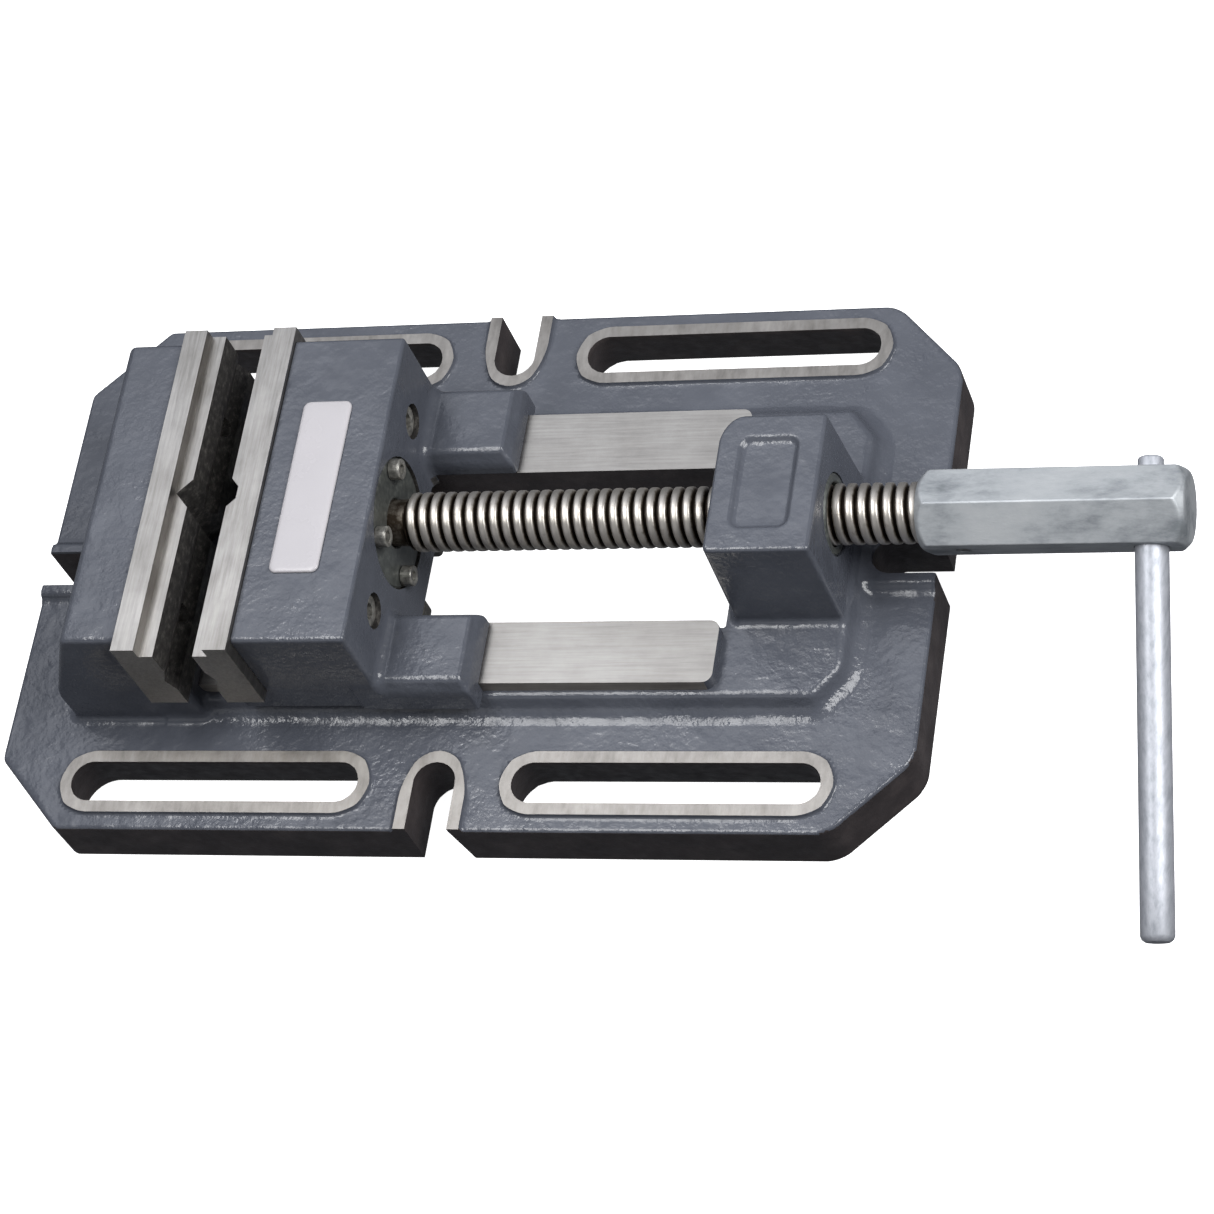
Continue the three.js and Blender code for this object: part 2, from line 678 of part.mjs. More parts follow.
// ---------------------------------------------------------------- keepers below the ways
for (const [name, side] of sides) {
  const inner = side * keeperInner;
  const outer = side * keeperReach;
  const outline = rectangle(
    movableMidX - keeperLength / 2, movableMidX + keeperLength / 2, Math.min(inner, outer), Math.max(inner, outer),
  );
  const plate = extrude(softened(outline, 2), keeperBottom, keeperTop);
  const holes = keeperScrewPlaces
    .filter(([, y]) => Math.sign(y) === side)
    .map(([x, y]) => uprightHole(x, y, keeperBottom - 1, keeperTop + 1));
  addMesh(`keeper_plate_${name}`, cut(plate, ...holes), darkSteel());
}
keeperScrewPlaces.forEach(([x, y], i) => {
  const screw = capScrew(M6, keeperScrewTip - keeperBottom);
  addMesh(`keeper_screw_${i + 1}`, screw.rotate(0, 90, 0).translate(x, y, keeperBottom - seatGap), darkSteel());
});

// ---------------------------------------------------------------- lead screw and nut
function leadScrew() {
  const core = turned([
    [noseEnd, noseRadius - 1], [noseEnd + 1, noseRadius], [collarBack, noseRadius],
    [collarBack, collarRadius], [collarFront, collarRadius], [collarFront, neckRadius],
    [threadStart, neckRadius], [threadStart + 1, neckRadius - 0.5], [threadEnd - 1, neckRadius - 0.5],
    [threadEnd - 1, spigotRadius], [hubX0 + spigotLength - 1, spigotRadius], [hubX0 + spigotLength, spigotRadius - 1],
  ], 0, screwHeight, 24);
  const threadRoom = turned([
    [threadStart - 0.5, neckRadius - 1], [threadStart + threadRadius - neckRadius, threadRadius + 1],
    [threadEnd, threadRadius + 1],
  ], 0, screwHeight, 24);
  const rod = threadedRod(threadStart, threadEnd, threadRoot, threadRadius, threadCrest, threadFlank);
  return join(core, rod.intersect(threadRoom));
}

addMesh('lead_screw', leadScrew(), brightSteel());

const nutBlank = turned([
  [housingStart + 1, nutRadius], [housingEnd + nutProud - 0.5, nutRadius], [housingEnd + nutProud, nutRadius - 0.5],
], 0, screwHeight, 32);
const tap = threadedRod(
  housingStart, housingEnd, threadRoot + threadClearance + 0.2, threadRadius + threadClearance + 0.35,
  threadCrest + 2 * threadClearance, threadFlank,
);
addMesh('nut_bush', cut(nutBlank, tap), darkSteel());

// ---------------------------------------------------------------- handle
const roll = (hubRoll * Math.PI) / 180;
const barDown = new THREE.Vector3(0, -Math.cos(roll), -Math.sin(roll));

// Places a solid made along +X so that it runs along barDown from the hub axis.
function alongBar(solid, x, lean = 0) {
  return solid.rotate(0, 0, -90 + lean).rotate(hubRoll, 0, 0).translate(x, 0, screwHeight);
}

function handleHub() {
  const faceAngle = Math.atan2(barDown.z, barDown.y);
  const outline = hexagon(hubAcrossFlats, faceAngle).map(([y, z]) => [y, z + screwHeight]);
  const bar = extrude(outline, hubX0, hubX1, 'x');
  const corner = hubAcrossFlats / Math.sqrt(3) + 0.2;
  const envelope = turned([
    [hubX0, corner - hubChamfer], [hubX0 + hubChamfer * 0.6, corner],
    [hubX1 - hubChamfer * 0.6, corner], [hubX1, corner - hubChamfer],
  ], 0, screwHeight, 40);
  const spigotBore = turned([
    [hubX0 - 1, spigotRadius + holeClearance], [hubX0 + spigotLength + 2, spigotRadius + holeClearance],
  ], 0, screwHeight, 32);
  const loose = barRadius + holeClearance + hubAcrossFlats / 2 * Math.tan((barLean * Math.PI) / 180);
  const barHole = alongBar(turned([
    [-hubAcrossFlats, barTipRadius + holeClearance + 0.9], [-barShoulder - 0.6, barTipRadius + holeClearance + 0.9],
    [-barShoulder - 0.6, loose], [hubAcrossFlats, loose],
  ], 0, 0, 24), barX);
  const grubHole = alongBar(turned([
    [0, M6.shank + holeClearance], [hubAcrossFlats, M6.shank + holeClearance],
  ], 0, 0, 16), hubX0 + grubFromHubStart);
  return cut(bar.intersect(envelope), spigotBore, barHole, grubHole);
}

addMesh('handle_hub', handleHub(), platedSteel());

const grubScrew = cut(
  turned([
    [spigotRadius + seatGap, M6.shank - 0.5], [spigotRadius + seatGap + 0.5, M6.shank],
    [hubAcrossFlats / 2 - 0.6, M6.shank],
  ], 0, 0, 16),
  extrude(hexagon(3, 0), hubAcrossFlats / 2 - 3, hubAcrossFlats / 2 + 1, 'x'),
);
addMesh('hub_grub_screw', alongBar(grubScrew, hubX0 + grubFromHubStart), darkSteel());

const handleBar = turned([
  [-barTipReach, barTipRadius - 1], [-barTipReach + 0.8, barTipRadius], [-barShoulder, barTipRadius],
  [-barShoulder, barRadius], [barReach - 1, barRadius], [barReach, barRadius - 1],
], 0, 0, 24);
addMesh('handle_bar', alongBar(handleBar, barX, barLean), platedSteel());

// ---------------------------------------------------------------- name plate
const labelX = movableSeatX + 20.4;
const labelOutline = cutRectangle(
  labelX - labelWidth / 2, labelX + labelWidth / 2, -labelLength / 2, labelLength / 2, labelCorner, labelCorner,
);
const labelRing = (inset, z) => softened(labelOutline, 1).map(([x, y]) => [
  labelX + (x - labelX) * (1 - inset / labelWidth), y * (1 - inset / labelLength), z,
]);
addMesh('name_plate', skin([
  labelRing(0, movableJawTop + seatGap), labelRing(0, movableJawTop + seatGap + labelThickness * 0.6),
  labelRing(1, movableJawTop + seatGap + labelThickness),
]), material(0xd9dadb, 0.25, 0));

export default vise;
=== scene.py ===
"""Looks of a slotted-base machine vise: cast body, ground jaw plates, lead screw and crank.

Lengths are written in millimetres in the frame of the CAD part and turned to metres when a mesh is
made. +X runs along the screw from the jaws to the handle, and Z is up from the underside.
"""

import math

import bmesh
import bpy
import numpy as np
from mathutils import Matrix, Vector


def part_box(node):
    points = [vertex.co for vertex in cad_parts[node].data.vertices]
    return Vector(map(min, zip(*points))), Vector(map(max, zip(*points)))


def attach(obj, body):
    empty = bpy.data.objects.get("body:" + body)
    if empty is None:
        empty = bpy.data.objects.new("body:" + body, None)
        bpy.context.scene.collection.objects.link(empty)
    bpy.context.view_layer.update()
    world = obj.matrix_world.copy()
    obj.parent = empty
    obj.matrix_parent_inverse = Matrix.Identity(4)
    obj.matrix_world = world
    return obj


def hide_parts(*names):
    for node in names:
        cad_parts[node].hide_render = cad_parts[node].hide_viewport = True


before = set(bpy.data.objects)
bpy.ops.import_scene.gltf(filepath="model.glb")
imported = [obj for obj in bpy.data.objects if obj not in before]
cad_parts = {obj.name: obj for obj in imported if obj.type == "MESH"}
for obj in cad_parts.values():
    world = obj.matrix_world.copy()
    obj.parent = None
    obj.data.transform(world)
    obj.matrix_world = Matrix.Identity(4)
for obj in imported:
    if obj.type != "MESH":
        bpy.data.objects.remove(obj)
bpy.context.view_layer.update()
MM = 0.001


def ends(node):
    """Lowest and highest corner of a CAD node in millimetres."""
    low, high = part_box(node)
    return np.array(low) / MM, np.array(high) / MM


BASE_LOW, BASE_HIGH = ends("base_casting")
JAW_LOW, JAW_HIGH = ends("movable_jaw_casting")
FIXED_LOW, FIXED_HIGH = ends("fixed_jaw_plate")
MOVING_LOW, MOVING_HIGH = ends("movable_jaw_plate")
NUT_LOW, NUT_HIGH = ends("nut_bush")
HUB_LOW, HUB_HIGH = ends("handle_hub")
DISC_LOW, DISC_HIGH = ends("retainer_plate")
AXIS_Z = (NUT_LOW[2] + NUT_HIGH[2]) / 2
MID_X = (BASE_LOW[0] + BASE_HIGH[0]) / 2
HALF_WIDTH = BASE_HIGH[1]

# ---------------------------------------------------------------- distance fields
# A casting is the zero level of a signed distance worked out on a grid of points: negative inside
# the metal, positive outside. Cast edges are blended with a radius, machined ones are left sharp.


def blend_in(a, b, r):
    """Union of two bodies with a concave fillet of radius r where their faces meet."""
    u = np.maximum(r - a, 0.0)
    v = np.maximum(r - b, 0.0)
    return np.maximum(np.minimum(a, b), r) - np.hypot(u, v)


def round_off(a, b, r):
    """Overlap of two bodies with a convex edge of radius r where their faces meet."""
    u = np.maximum(r + a, 0.0)
    v = np.maximum(r + b, 0.0)
    return np.minimum(np.maximum(a, b), -r) + np.hypot(u, v)


def slab(v, low, high):
    """Distance outside the layer between two parallel planes."""
    return np.maximum(low - v, v - high)


def plane(u, v, start, end):
    """Distance to the right of the line from start to end, seen with u to the right and v up."""
    du, dv = end[0] - start[0], end[1] - start[1]
    return ((u - start[0]) * dv - (v - start[1]) * du) / math.hypot(du, dv)


def outline(u, v, corners, r):
    """Distance outside a convex outline, its corners given anticlockwise and rounded to radius r."""
    d = None
    for start, end in zip(corners, corners[1:] + corners[:1]):
        side = plane(u, v, start, end)
        d = side if d is None else round_off(d, side, r)
    return d


def round_slot(u, v, half_length, r):
    """Distance outside a slot with round ends along u: the distance to its middle line, less r."""
    return np.hypot(np.maximum(np.abs(u) - half_length, 0.0), v) - r


def tube(y, z, cy, cz, r):
    """Distance outside a round bar along X."""
    return np.hypot(y - cy, z - cz) - r


# ---------------------------------------------------------------- sizes of the castings
PLATE_TOP = 23.7
CORNER_CUT_X, CORNER_CUT_Y = 30.7, 31.5
SLOT_Y, SLOT_R, SLOT_HALF, SLOT_PITCH, SLOT_TAPER = 99.4, 8.8, 53.95, 190.4, 4.6
RIM_WIDTH, RIM_TOP = 5.1, 25.5
END_SLOT_R, END_SLOT_DEPTH, LIP_TOP = 8.0, 26.6, 27.0
WAY_INNER, WAY_OUTER, WAY_TOP, WAY_END = 34.8, 62.3, 38.6, 215.1
LEDGE_OUTER, LEDGE_TOP = 64.7, 32.4
WINDOW_START, WINDOW_END, WINDOW_CUT = 14.0, 215.5, 8.0
CHANNEL_OUTER, CHANNEL_TOP = 58.0, 19.2
JAW_HALF, FIXED_TOP, SEAT_X = 70.0, 88.6, -16.3
HOUSING_X0, HOUSING_X1, HOUSING_HALF, HOUSING_TOP = 219.1, 261.3, 30.4, 84.3
FOOT_X1, FOOT_HALF = 263.6, 64.5
PLATE_SCREW_Y, PLATE_SCREW_Z, COUNTERBORE = 44.0, 65.0, 7.25
PLATE_BOTTOM = FIXED_LOW[2] - 0.2
PLATE_EDGE_Z, LIP_FOOT, LIP_EDGE, LEDGE_FOOT, FOOT_BATTER = 22.7, 14.2, 12.2, 69.3, 4.8
FIXED_BACK_X, FIXED_BACK_TOP_X, FIXED_SHOULDER_Z, FIXED_FRONT_X = -60.7, -40.3, 44, -1.5
HOUSING_CUT_Y, HOUSING_CUT_X, HOUSING_DRAFT, SCREW_BORE = 7.5, 5.8, 0.0406, 16.3
POCKET_X0, POCKET_X1, POCKET_HALF, POCKET_DEPTH = 228.3, 251.6, 20.2, 1.9
ROOM_FLOOR, CHANNEL_X0, CHANNEL_X1, CHANNEL_NECK_X, CHANNEL_NECK = 24.4, 6, 217, 150, 24.0
INSIDE_PLATE = 10


def long_slots(x, ay, z):
    """Distance outside the four long slots, which widen downwards as cast ones do."""
    slot = round_slot(np.abs(x - MID_X) - SLOT_PITCH / 2, ay - SLOT_Y, SLOT_HALF, SLOT_R)
    return slot - SLOT_TAPER * np.clip(1 - z / PLATE_TOP, 0, 1)


def side_slots(x, ay, z):
    """Distance outside the two slots through the long edges; they open wider on +X towards the foot."""
    flare = 4.0 * np.clip(1 - z / PLATE_TOP, 0, 1)
    u = x - MID_X - flare / 2
    return np.hypot(u, np.maximum(SLOT_Y - ay, 0.0)) - SLOT_R - flare / 2


def end_slots(x, y):
    """Distance outside the two slots through the ends, in plan."""
    inset = np.minimum(x - BASE_LOW[0], BASE_HIGH[0] - x)
    return np.hypot(np.maximum(inset - END_SLOT_DEPTH + END_SLOT_R, 0.0), y) - END_SLOT_R


def base_window(x, ay):
    """Distance outside the window between the ways, its far corners cut at 45 degrees."""
    c = WINDOW_CUT
    corners = [
        (WINDOW_START, -WAY_INNER), (WINDOW_END - c, -WAY_INNER), (WINDOW_END, c - WAY_INNER),
        (WINDOW_END, WAY_INNER - c), (WINDOW_END - c, WAY_INNER), (WINDOW_START, WAY_INNER),
    ]
    return outline(x, ay, corners, 1.5)


def plate_plan(x, ay):
    """Distance outside the base plate in plan: a rectangle with its four corners cut."""
    x0, x1 = BASE_LOW[0], BASE_HIGH[0]
    plan = round_off(slab(x, x0, x1), ay - HALF_WIDTH, 3.0)
    for corner, inward, soft in ((x0, 1, 1.5), (x1, -1, 4.0)):
        out = (corner + inward * CORNER_CUT_X - x) * inward * CORNER_CUT_Y
        cut = (out + (ay - HALF_WIDTH) * CORNER_CUT_X) / math.hypot(CORNER_CUT_X, CORNER_CUT_Y)
        plan = round_off(plan, cut, soft)
    return plan


def base_field(x, y, z):
    """Base casting: plate, rims, lips, ways, fixed jaw, foot and housing blended into one body,
    then the machined planes, slots, window and bores cut sharp."""
    ay = np.abs(y)
    plan = plate_plan(x, ay)
    plate = round_off(np.maximum(plan, -z), z - PLATE_TOP, 1.6)

    # Raised rims, machined flat on top
    r = SLOT_R + RIM_WIDTH
    u, v = np.abs(np.abs(x - MID_X) - SLOT_PITCH / 2), np.abs(ay - SLOT_Y)
    h = SLOT_HALF + r
    rim = round_off(round_off(u - h, v - r, 3.0), (u - h + v - r + 0.55 * r) / math.sqrt(2), 5.0)
    u = np.abs(x - MID_X)
    side_rim = round_off(u - r, SLOT_Y - r - ay, 3.0)
    side_rim = round_off(side_rim, plane(u, ay, (0.45 * r, SLOT_Y - r), (r, SLOT_Y - 2.0)), 5.0)
    rims = np.maximum(np.minimum(rim, side_rim) + 0.25 * (z - RIM_TOP), np.maximum(z - RIM_TOP, plan))
    body = blend_in(plate, np.maximum(rims, 18 - z), 0.9)

    # Cast lips along the end slots
    soft = np.where(x < MID_X, 1.6, 3.8)
    lip = round_off(plane(ay, z, (LIP_FOOT, PLATE_EDGE_Z), (LIP_EDGE, LIP_TOP)), z - LIP_TOP, 1.2)
    lip = np.maximum(round_off(lip, plan, 1.2), -slab(x, -60.0, 262.0))
    body = np.maximum(blend_in(body, np.maximum(lip, INSIDE_PLATE - z), soft), plan)

    # Ledge below each way, then the foot, the fixed jaw and the housing
    slope_side = plane(ay, z, (LEDGE_FOOT, PLATE_EDGE_Z + 0.5), (LEDGE_OUTER, LEDGE_TOP))
    ledge = round_off(slope_side, z - LEDGE_TOP, 1.6)
    ledge = np.maximum(np.maximum(ledge, WAY_INNER - ay), slab(x, SEAT_X, WAY_END + 2))
    foot_side = round_off(
        plane(ay, z, (LEDGE_FOOT, PLATE_EDGE_Z), (FOOT_HALF, LEDGE_TOP)),
        plane(x, z, (FOOT_X1 + FOOT_BATTER, PLATE_EDGE_Z), (FOOT_X1, LEDGE_TOP)), 1.2)
    reach = (x - FOOT_X1 + 9.8) * 12 + (ay - FOOT_HALF) * 9.8
    foot_side = round_off(foot_side, (reach / 15.5 + (z - LEDGE_TOP) * 0.5) / 1.118, 1.5)
    foot = np.maximum(round_off(foot_side, z - LEDGE_TOP, 1.8), WAY_END - 4 - x)
    body = blend_in(body, np.maximum(np.minimum(ledge, foot), INSIDE_PLATE - z), 4.4)

    side_view = [
        (FIXED_BACK_X, 1), (FIXED_FRONT_X, 1), (FIXED_FRONT_X, FIXED_TOP),
        (FIXED_BACK_TOP_X, FIXED_TOP), (FIXED_BACK_X, FIXED_SHOULDER_Z),
    ]
    jaw = outline(x, z, side_view, 2.2)
    jaw = round_off(jaw, ay - JAW_HALF, 2.2)
    body = blend_in(body, np.maximum(jaw, INSIDE_PLATE - z), 3.2)

    draft = (HOUSING_TOP - z) * HOUSING_DRAFT
    cut_start = (HOUSING_HALF - HOUSING_CUT_Y, HOUSING_X0)
    cut = plane(y, x, cut_start, (HOUSING_HALF, HOUSING_X0 + HOUSING_CUT_X)) - draft
    plan_h = round_off(ay - HOUSING_HALF - draft, HOUSING_X0 - x, 2.6)
    plan_h = round_off(round_off(plan_h, cut, 3.0), x - HOUSING_X1 - draft, 1.8)
    housing = round_off(plan_h, z - HOUSING_TOP, 1.5)
    body = blend_in(body, np.maximum(housing, INSIDE_PLATE - z), 3.2)
    pocket = round_off(slab(x, POCKET_X0, POCKET_X1), ay - POCKET_HALF, 4.5)
    pocket = round_off(pocket + 0.5 * (HOUSING_TOP - z), HOUSING_TOP - POCKET_DEPTH - z, 1.3)
    body = round_off(body, -pocket, 1.0)

    # Machined strips on the ways
    strip = round_off(slab(ay, WAY_INNER, WAY_OUTER), x - WAY_END, 4.0)
    strip = np.maximum(np.maximum(strip, z - WAY_TOP), np.maximum(25 - z, SEAT_X - x))
    body = np.minimum(body, strip)

    # Everything that is cut
    seat = np.maximum(SEAT_X - x, PLATE_BOTTOM - z)
    body = np.maximum(body, -np.maximum(seat, x - 40))
    body = np.maximum(body, -np.maximum(base_window(x, ay), z - 45))
    body = np.maximum(body, -np.minimum(long_slots(x, ay, z), side_slots(x, ay, z)))
    body = np.maximum(body, -np.maximum(end_slots(x, y), z - 60))
    way_room = np.maximum(np.maximum(slab(x, FIXED_FRONT_X, WINDOW_END), ay - WAY_INNER), ROOM_FLOOR - z)
    body = np.maximum(body, -way_room)
    inner = np.where(x > CHANNEL_NECK_X, CHANNEL_NECK, WAY_INNER - 1)
    channel = np.maximum(slab(ay, inner, CHANNEL_OUTER), slab(x, CHANNEL_X0, CHANNEL_X1))
    body = np.maximum(body, -np.maximum(channel, z - CHANNEL_TOP))
    body = np.maximum(body, -np.maximum(tube(y, z, 0, AXIS_Z, SCREW_BORE), 200 - x))
    bores = np.maximum(tube(ay, z, PLATE_SCREW_Y, PLATE_SCREW_Z, COUNTERBORE), x - FIXED_BACK_TOP_X)
    return np.maximum(body, -bores)


WING_END, WING_OUTER, WING_TOP = JAW_HIGH[0], 70.8, 51.0
BACK_X, JAW_TOP, SKIRT = 80.9, 87.9, 33.0
DISC_R, DISC_ROOM, COLLAR_R, COLLAR_X = 26.3, 0.35, 17.0, 67.4
JAW_SEAT_X, TONGUE_HALF, TONGUE_CUT, TONGUE_LOW, TONGUE_HIGH = 33.5, 34.5, 5.0, 19, 40.6
GUIDE_OUTER, GUIDE_TOP, WING_FOOT, WING_BEVEL, BORE_BOTTOM_X = 62.6, 38.9, 44.4, 3.7, 70.9


def jaw_field(x, y, z):
    """Sliding jaw casting: block, tongue and two bevelled wings blended into one body, then the
    seat of the jaw plate, the guide channels, the retainer recess and the screw holes cut sharp."""
    ay = np.abs(y)
    x0 = JAW_LOW[0]
    block = outline(x, z, [(x0, SKIRT), (BACK_X, SKIRT), (BACK_X, JAW_TOP), (x0, JAW_TOP)], 1.6)
    block = round_off(block, ay - JAW_HALF, 1.8)
    top = round_off(plane(x, z, (WING_END, WING_FOOT), (WING_END - WING_BEVEL, WING_TOP)), z - WING_TOP, 1.0)
    sides = round_off(
        plane(ay, z, (WING_OUTER, WING_FOOT), (WING_OUTER - WING_BEVEL, WING_TOP)),
        plane(-ay, z, (-TONGUE_HALF, WING_FOOT), (-TONGUE_HALF - WING_BEVEL, WING_TOP)), 1.0)
    walls = round_off(slab(ay, TONGUE_HALF, WING_OUTER), x - WING_END, 1.6)
    wing = round_off(round_off(top, sides, 1.6), walls, 1.2)
    wing = np.maximum(wing, np.maximum(BACK_X - 8 - x, SKIRT - z))
    body = np.maximum(blend_in(block, wing, 4.5), np.maximum(ay - WING_OUTER, SKIRT - z))
    corner_cut = (x - BACK_X + ay - (TONGUE_HALF - TONGUE_CUT)) / math.sqrt(2)
    tongue = np.maximum(slab(x, JAW_SEAT_X, BACK_X), np.maximum(ay - TONGUE_HALF, corner_cut))
    body = np.minimum(body, np.maximum(tongue, slab(z, TONGUE_LOW, TONGUE_HIGH)))
    seat = np.maximum(x - JAW_SEAT_X, PLATE_BOTTOM - z)
    body = np.maximum(body, -seat)
    channel = np.maximum(slab(ay, TONGUE_HALF, GUIDE_OUTER), z - GUIDE_TOP)
    body = np.maximum(body, -channel)
    recess = np.maximum(tube(y, z, 0, AXIS_Z, DISC_R + DISC_ROOM), DISC_LOW[0] - 0.2 - x)
    recess = np.minimum(recess, np.maximum(tube(y, z, 0, AXIS_Z, COLLAR_R), COLLAR_X - x))
    body = np.maximum(body, -recess)
    bores = np.maximum(tube(ay, z, PLATE_SCREW_Y, PLATE_SCREW_Z, COUNTERBORE), BORE_BOTTOM_X - x)
    return np.maximum(body, -bores)


STEP_WIDTH, STEP_DROP, GROOVE_HALF, GROOVE_DEPTH = 6.2, 5.3, 7.0, 2.8
NOTCH_HALF, NOTCH_DEPTH, PLATE_HOLE_R = 6.5, 6.0, 4.3


def jaw_plate_field(x, y, z, back, front):
    """Jaw plate from its back plane to its clamping plane: a stepped bar with a V groove along it,
    an upright V notch in the middle and two screw holes."""
    sign = 1.0 if front > back else -1.0
    depth = (x - back) * sign
    thick = abs(front - back)
    top = FIXED_HIGH[2]
    end_view = np.maximum(slab(z, FIXED_LOW[2], top), np.abs(y) - FIXED_HIGH[1])
    bar = np.maximum(slab(depth, 0, thick), end_view)
    step = np.minimum(depth - thick + STEP_WIDTH, z - top + STEP_DROP)
    groove_side = np.abs(z - PLATE_SCREW_Z) * GROOVE_DEPTH - GROOVE_HALF * (depth - thick + GROOVE_DEPTH)
    groove = groove_side / math.hypot(GROOVE_HALF, GROOVE_DEPTH)
    notch_side = np.abs(y) * NOTCH_DEPTH - NOTCH_HALF * (depth - thick + NOTCH_DEPTH)
    notch = notch_side / math.hypot(NOTCH_HALF, NOTCH_DEPTH)
    hole = tube(np.abs(y), z, PLATE_SCREW_Y, PLATE_SCREW_Z, PLATE_HOLE_R)
    cuts = np.minimum(np.minimum(groove, notch), hole)
    return np.maximum(np.maximum(bar, step), -cuts)


# ---------------------------------------------------------------- surfaces from fields
def graded(low, high, step, fine, fine_step, reach):
    """Grid lines from low to high, a step apart and closer near the listed places: the density of
    lines is summed along the way, and lines are set where that sum passes whole numbers."""
    t = np.linspace(low, high, 6000)
    pull = np.zeros_like(t)
    for place in fine:
        pull = np.maximum(pull, np.exp(-(((t - place) / reach) ** 2)))
    density = 1 / step + (1 / fine_step - 1 / step) * pull
    total = np.concatenate([[0], np.cumsum((density[1:] + density[:-1]) / 2 * np.diff(t))])
    count = int(math.ceil(total[-1]))
    return np.interp(np.linspace(0, total[-1], count + 1), total, t)


def slope(field, p, e=0.02):
    """Unit slope of a field at points p, from its rise over a short way along each axis."""
    g = np.empty_like(p)
    for axis in range(3):
        hi, lo = p.copy(), p.copy()
        hi[:, axis] += e
        lo[:, axis] -= e
        g[:, axis] = field(*hi.T) - field(*lo.T)
    return g / np.maximum(np.linalg.norm(g, axis=1, keepdims=True), 1e-9)


def contour(field, lines, flat_share=0.08):
    """Zero level of a field as quads. Each grid edge that the surface crosses gives a point and a
    slope. Each cell gets the one point nearest all the tangent planes of its crossed edges, so
    machined edges stay sharp, and each crossed edge becomes a quad between its four cells. A
    direction that holds less than flat_share of the strongest one counts as flat."""
    shape = [len(line) for line in lines]
    corners = np.stack(np.meshgrid(*lines, indexing="ij"), -1)
    value = field(*np.moveaxis(corners, -1, 0))
    value = np.where(np.abs(value) < 1e-7, 1e-7, value)
    cells = np.array([n - 1 for n in shape])
    stride = np.array([cells[1] * cells[2], cells[2], 1])
    total = int(np.prod(cells))
    count, middle = np.zeros(total), np.zeros((total, 3))
    matrix, right = np.zeros((total, 3, 3)), np.zeros((total, 3))
    quads = []
    for axis in range(3):
        near = np.moveaxis(value, axis, 0)[:-1]
        far = np.moveaxis(value, axis, 0)[1:]
        found = np.argwhere((near < 0) != (far < 0))
        index = np.empty_like(found)
        index[:, axis] = found[:, 0]
        others = [a for a in range(3) if a != axis]
        index[:, others[0]], index[:, others[1]] = found[:, 1], found[:, 2]
        start = corners[tuple(index.T)]
        step = np.zeros_like(start)
        step[:, axis] = lines[axis][index[:, axis] + 1] - lines[axis][index[:, axis]]
        low, high = np.zeros(len(start)), np.ones(len(start))
        first = value[tuple(index.T)]
        for _ in range(12):
            half = (low + high) / 2
            same = (field(*(start + step * half[:, None]).T) < 0) == (first < 0)
            low, high = np.where(same, half, low), np.where(same, high, half)
        point = start + step * ((low + high) / 2)[:, None]
        normal = slope(field, point)
        b, c = (axis + 1) % 3, (axis + 2) % 3
        ring = []
        for db, dc in ((-1, -1), (0, -1), (0, 0), (-1, 0)):
            cell = index.copy()
            cell[:, b] += db
            cell[:, c] += dc
            ring.append(cell @ stride)
        ring = np.stack(ring, 1)
        flip = first > 0
        ring[flip] = ring[flip][:, ::-1]
        quads.append(ring)
        flat = ring.ravel()
        p4, n4 = np.repeat(point, 4, 0), np.repeat(normal, 4, 0)
        count += np.bincount(flat, minlength=total)
        for i in range(3):
            middle[:, i] += np.bincount(flat, p4[:, i], total)
            for j in range(i, 3):
                matrix[:, i, j] += np.bincount(flat, n4[:, i] * n4[:, j], total)
                matrix[:, j, i] = matrix[:, i, j]
        reach = (p4 * n4).sum(1)
        for i in range(3):
            right[:, i] += np.bincount(flat, n4[:, i] * reach, total)
    used = np.flatnonzero(count)
    centre = middle[used] / count[used, None]
    a = matrix[used]
    rest = right[used] - np.einsum("nij,nj->ni", a, centre)
    values, axes = np.linalg.eigh(a)
    keep = values > flat_share * values[:, -1:]
    inverse = np.where(keep, 1 / np.maximum(values, 1e-9), 0.0)
    move = np.einsum("nij,nj,nkj,nk->ni", axes, inverse, axes, rest)
    place = np.stack(np.unravel_index(used, cells), 1)
    low = np.stack([lines[k][place[:, k]] for k in range(3)], 1)
    high = np.stack([lines[k][place[:, k] + 1] for k in range(3)], 1)
    vertices = np.clip(centre + move, low, high)
    for _ in range(2):
        off = field(*vertices.T)[:, None]
        vertices = np.clip(vertices - np.clip(off, -0.4, 0.4) * slope(field, vertices), low, high)
    number = np.full(total, -1)
    number[used] = np.arange(len(used))
    return vertices, number[np.concatenate(quads)]


def corner_normals(field, vertices, quads):
    """Slope of the field a little way in from each corner of each quad, so that a fillet shades
    smoothly and each side of a sharp edge keeps its own direction."""
    corners = vertices[quads]
    inset = corners * 0.72 + corners.mean(1, keepdims=True) * 0.28
    return slope(field, inset.reshape(-1, 3)).reshape(-1, 4, 3)


def make_mesh(name, vertices, faces, normals=None):
    """A mesh object from points in millimetres and quads or triangles as one array."""
    mesh = bpy.data.meshes.new(name)
    mesh.from_pydata((np.asarray(vertices) * MM).tolist(), [], np.asarray(faces).tolist())
    mesh.polygons.foreach_set("use_smooth", np.ones(len(mesh.polygons), bool))
    if normals is not None:
        mesh.normals_split_custom_set(normals.reshape(-1, 3).tolist())
    mesh.update()
    obj = bpy.data.objects.new(name, mesh)
    bpy.context.scene.collection.objects.link(obj)
    return obj


def finish_piece(obj, body, nodes, materials, choice=None):
    """Gives a piece its materials, one chosen per face where choice is an array, and its place."""
    for material in materials:
        obj.data.materials.append(material)
    if choice is not None:
        obj.data.polygons.foreach_set("material_index", choice.astype(np.int32))
    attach(obj, body)
    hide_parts(*nodes)
    return obj


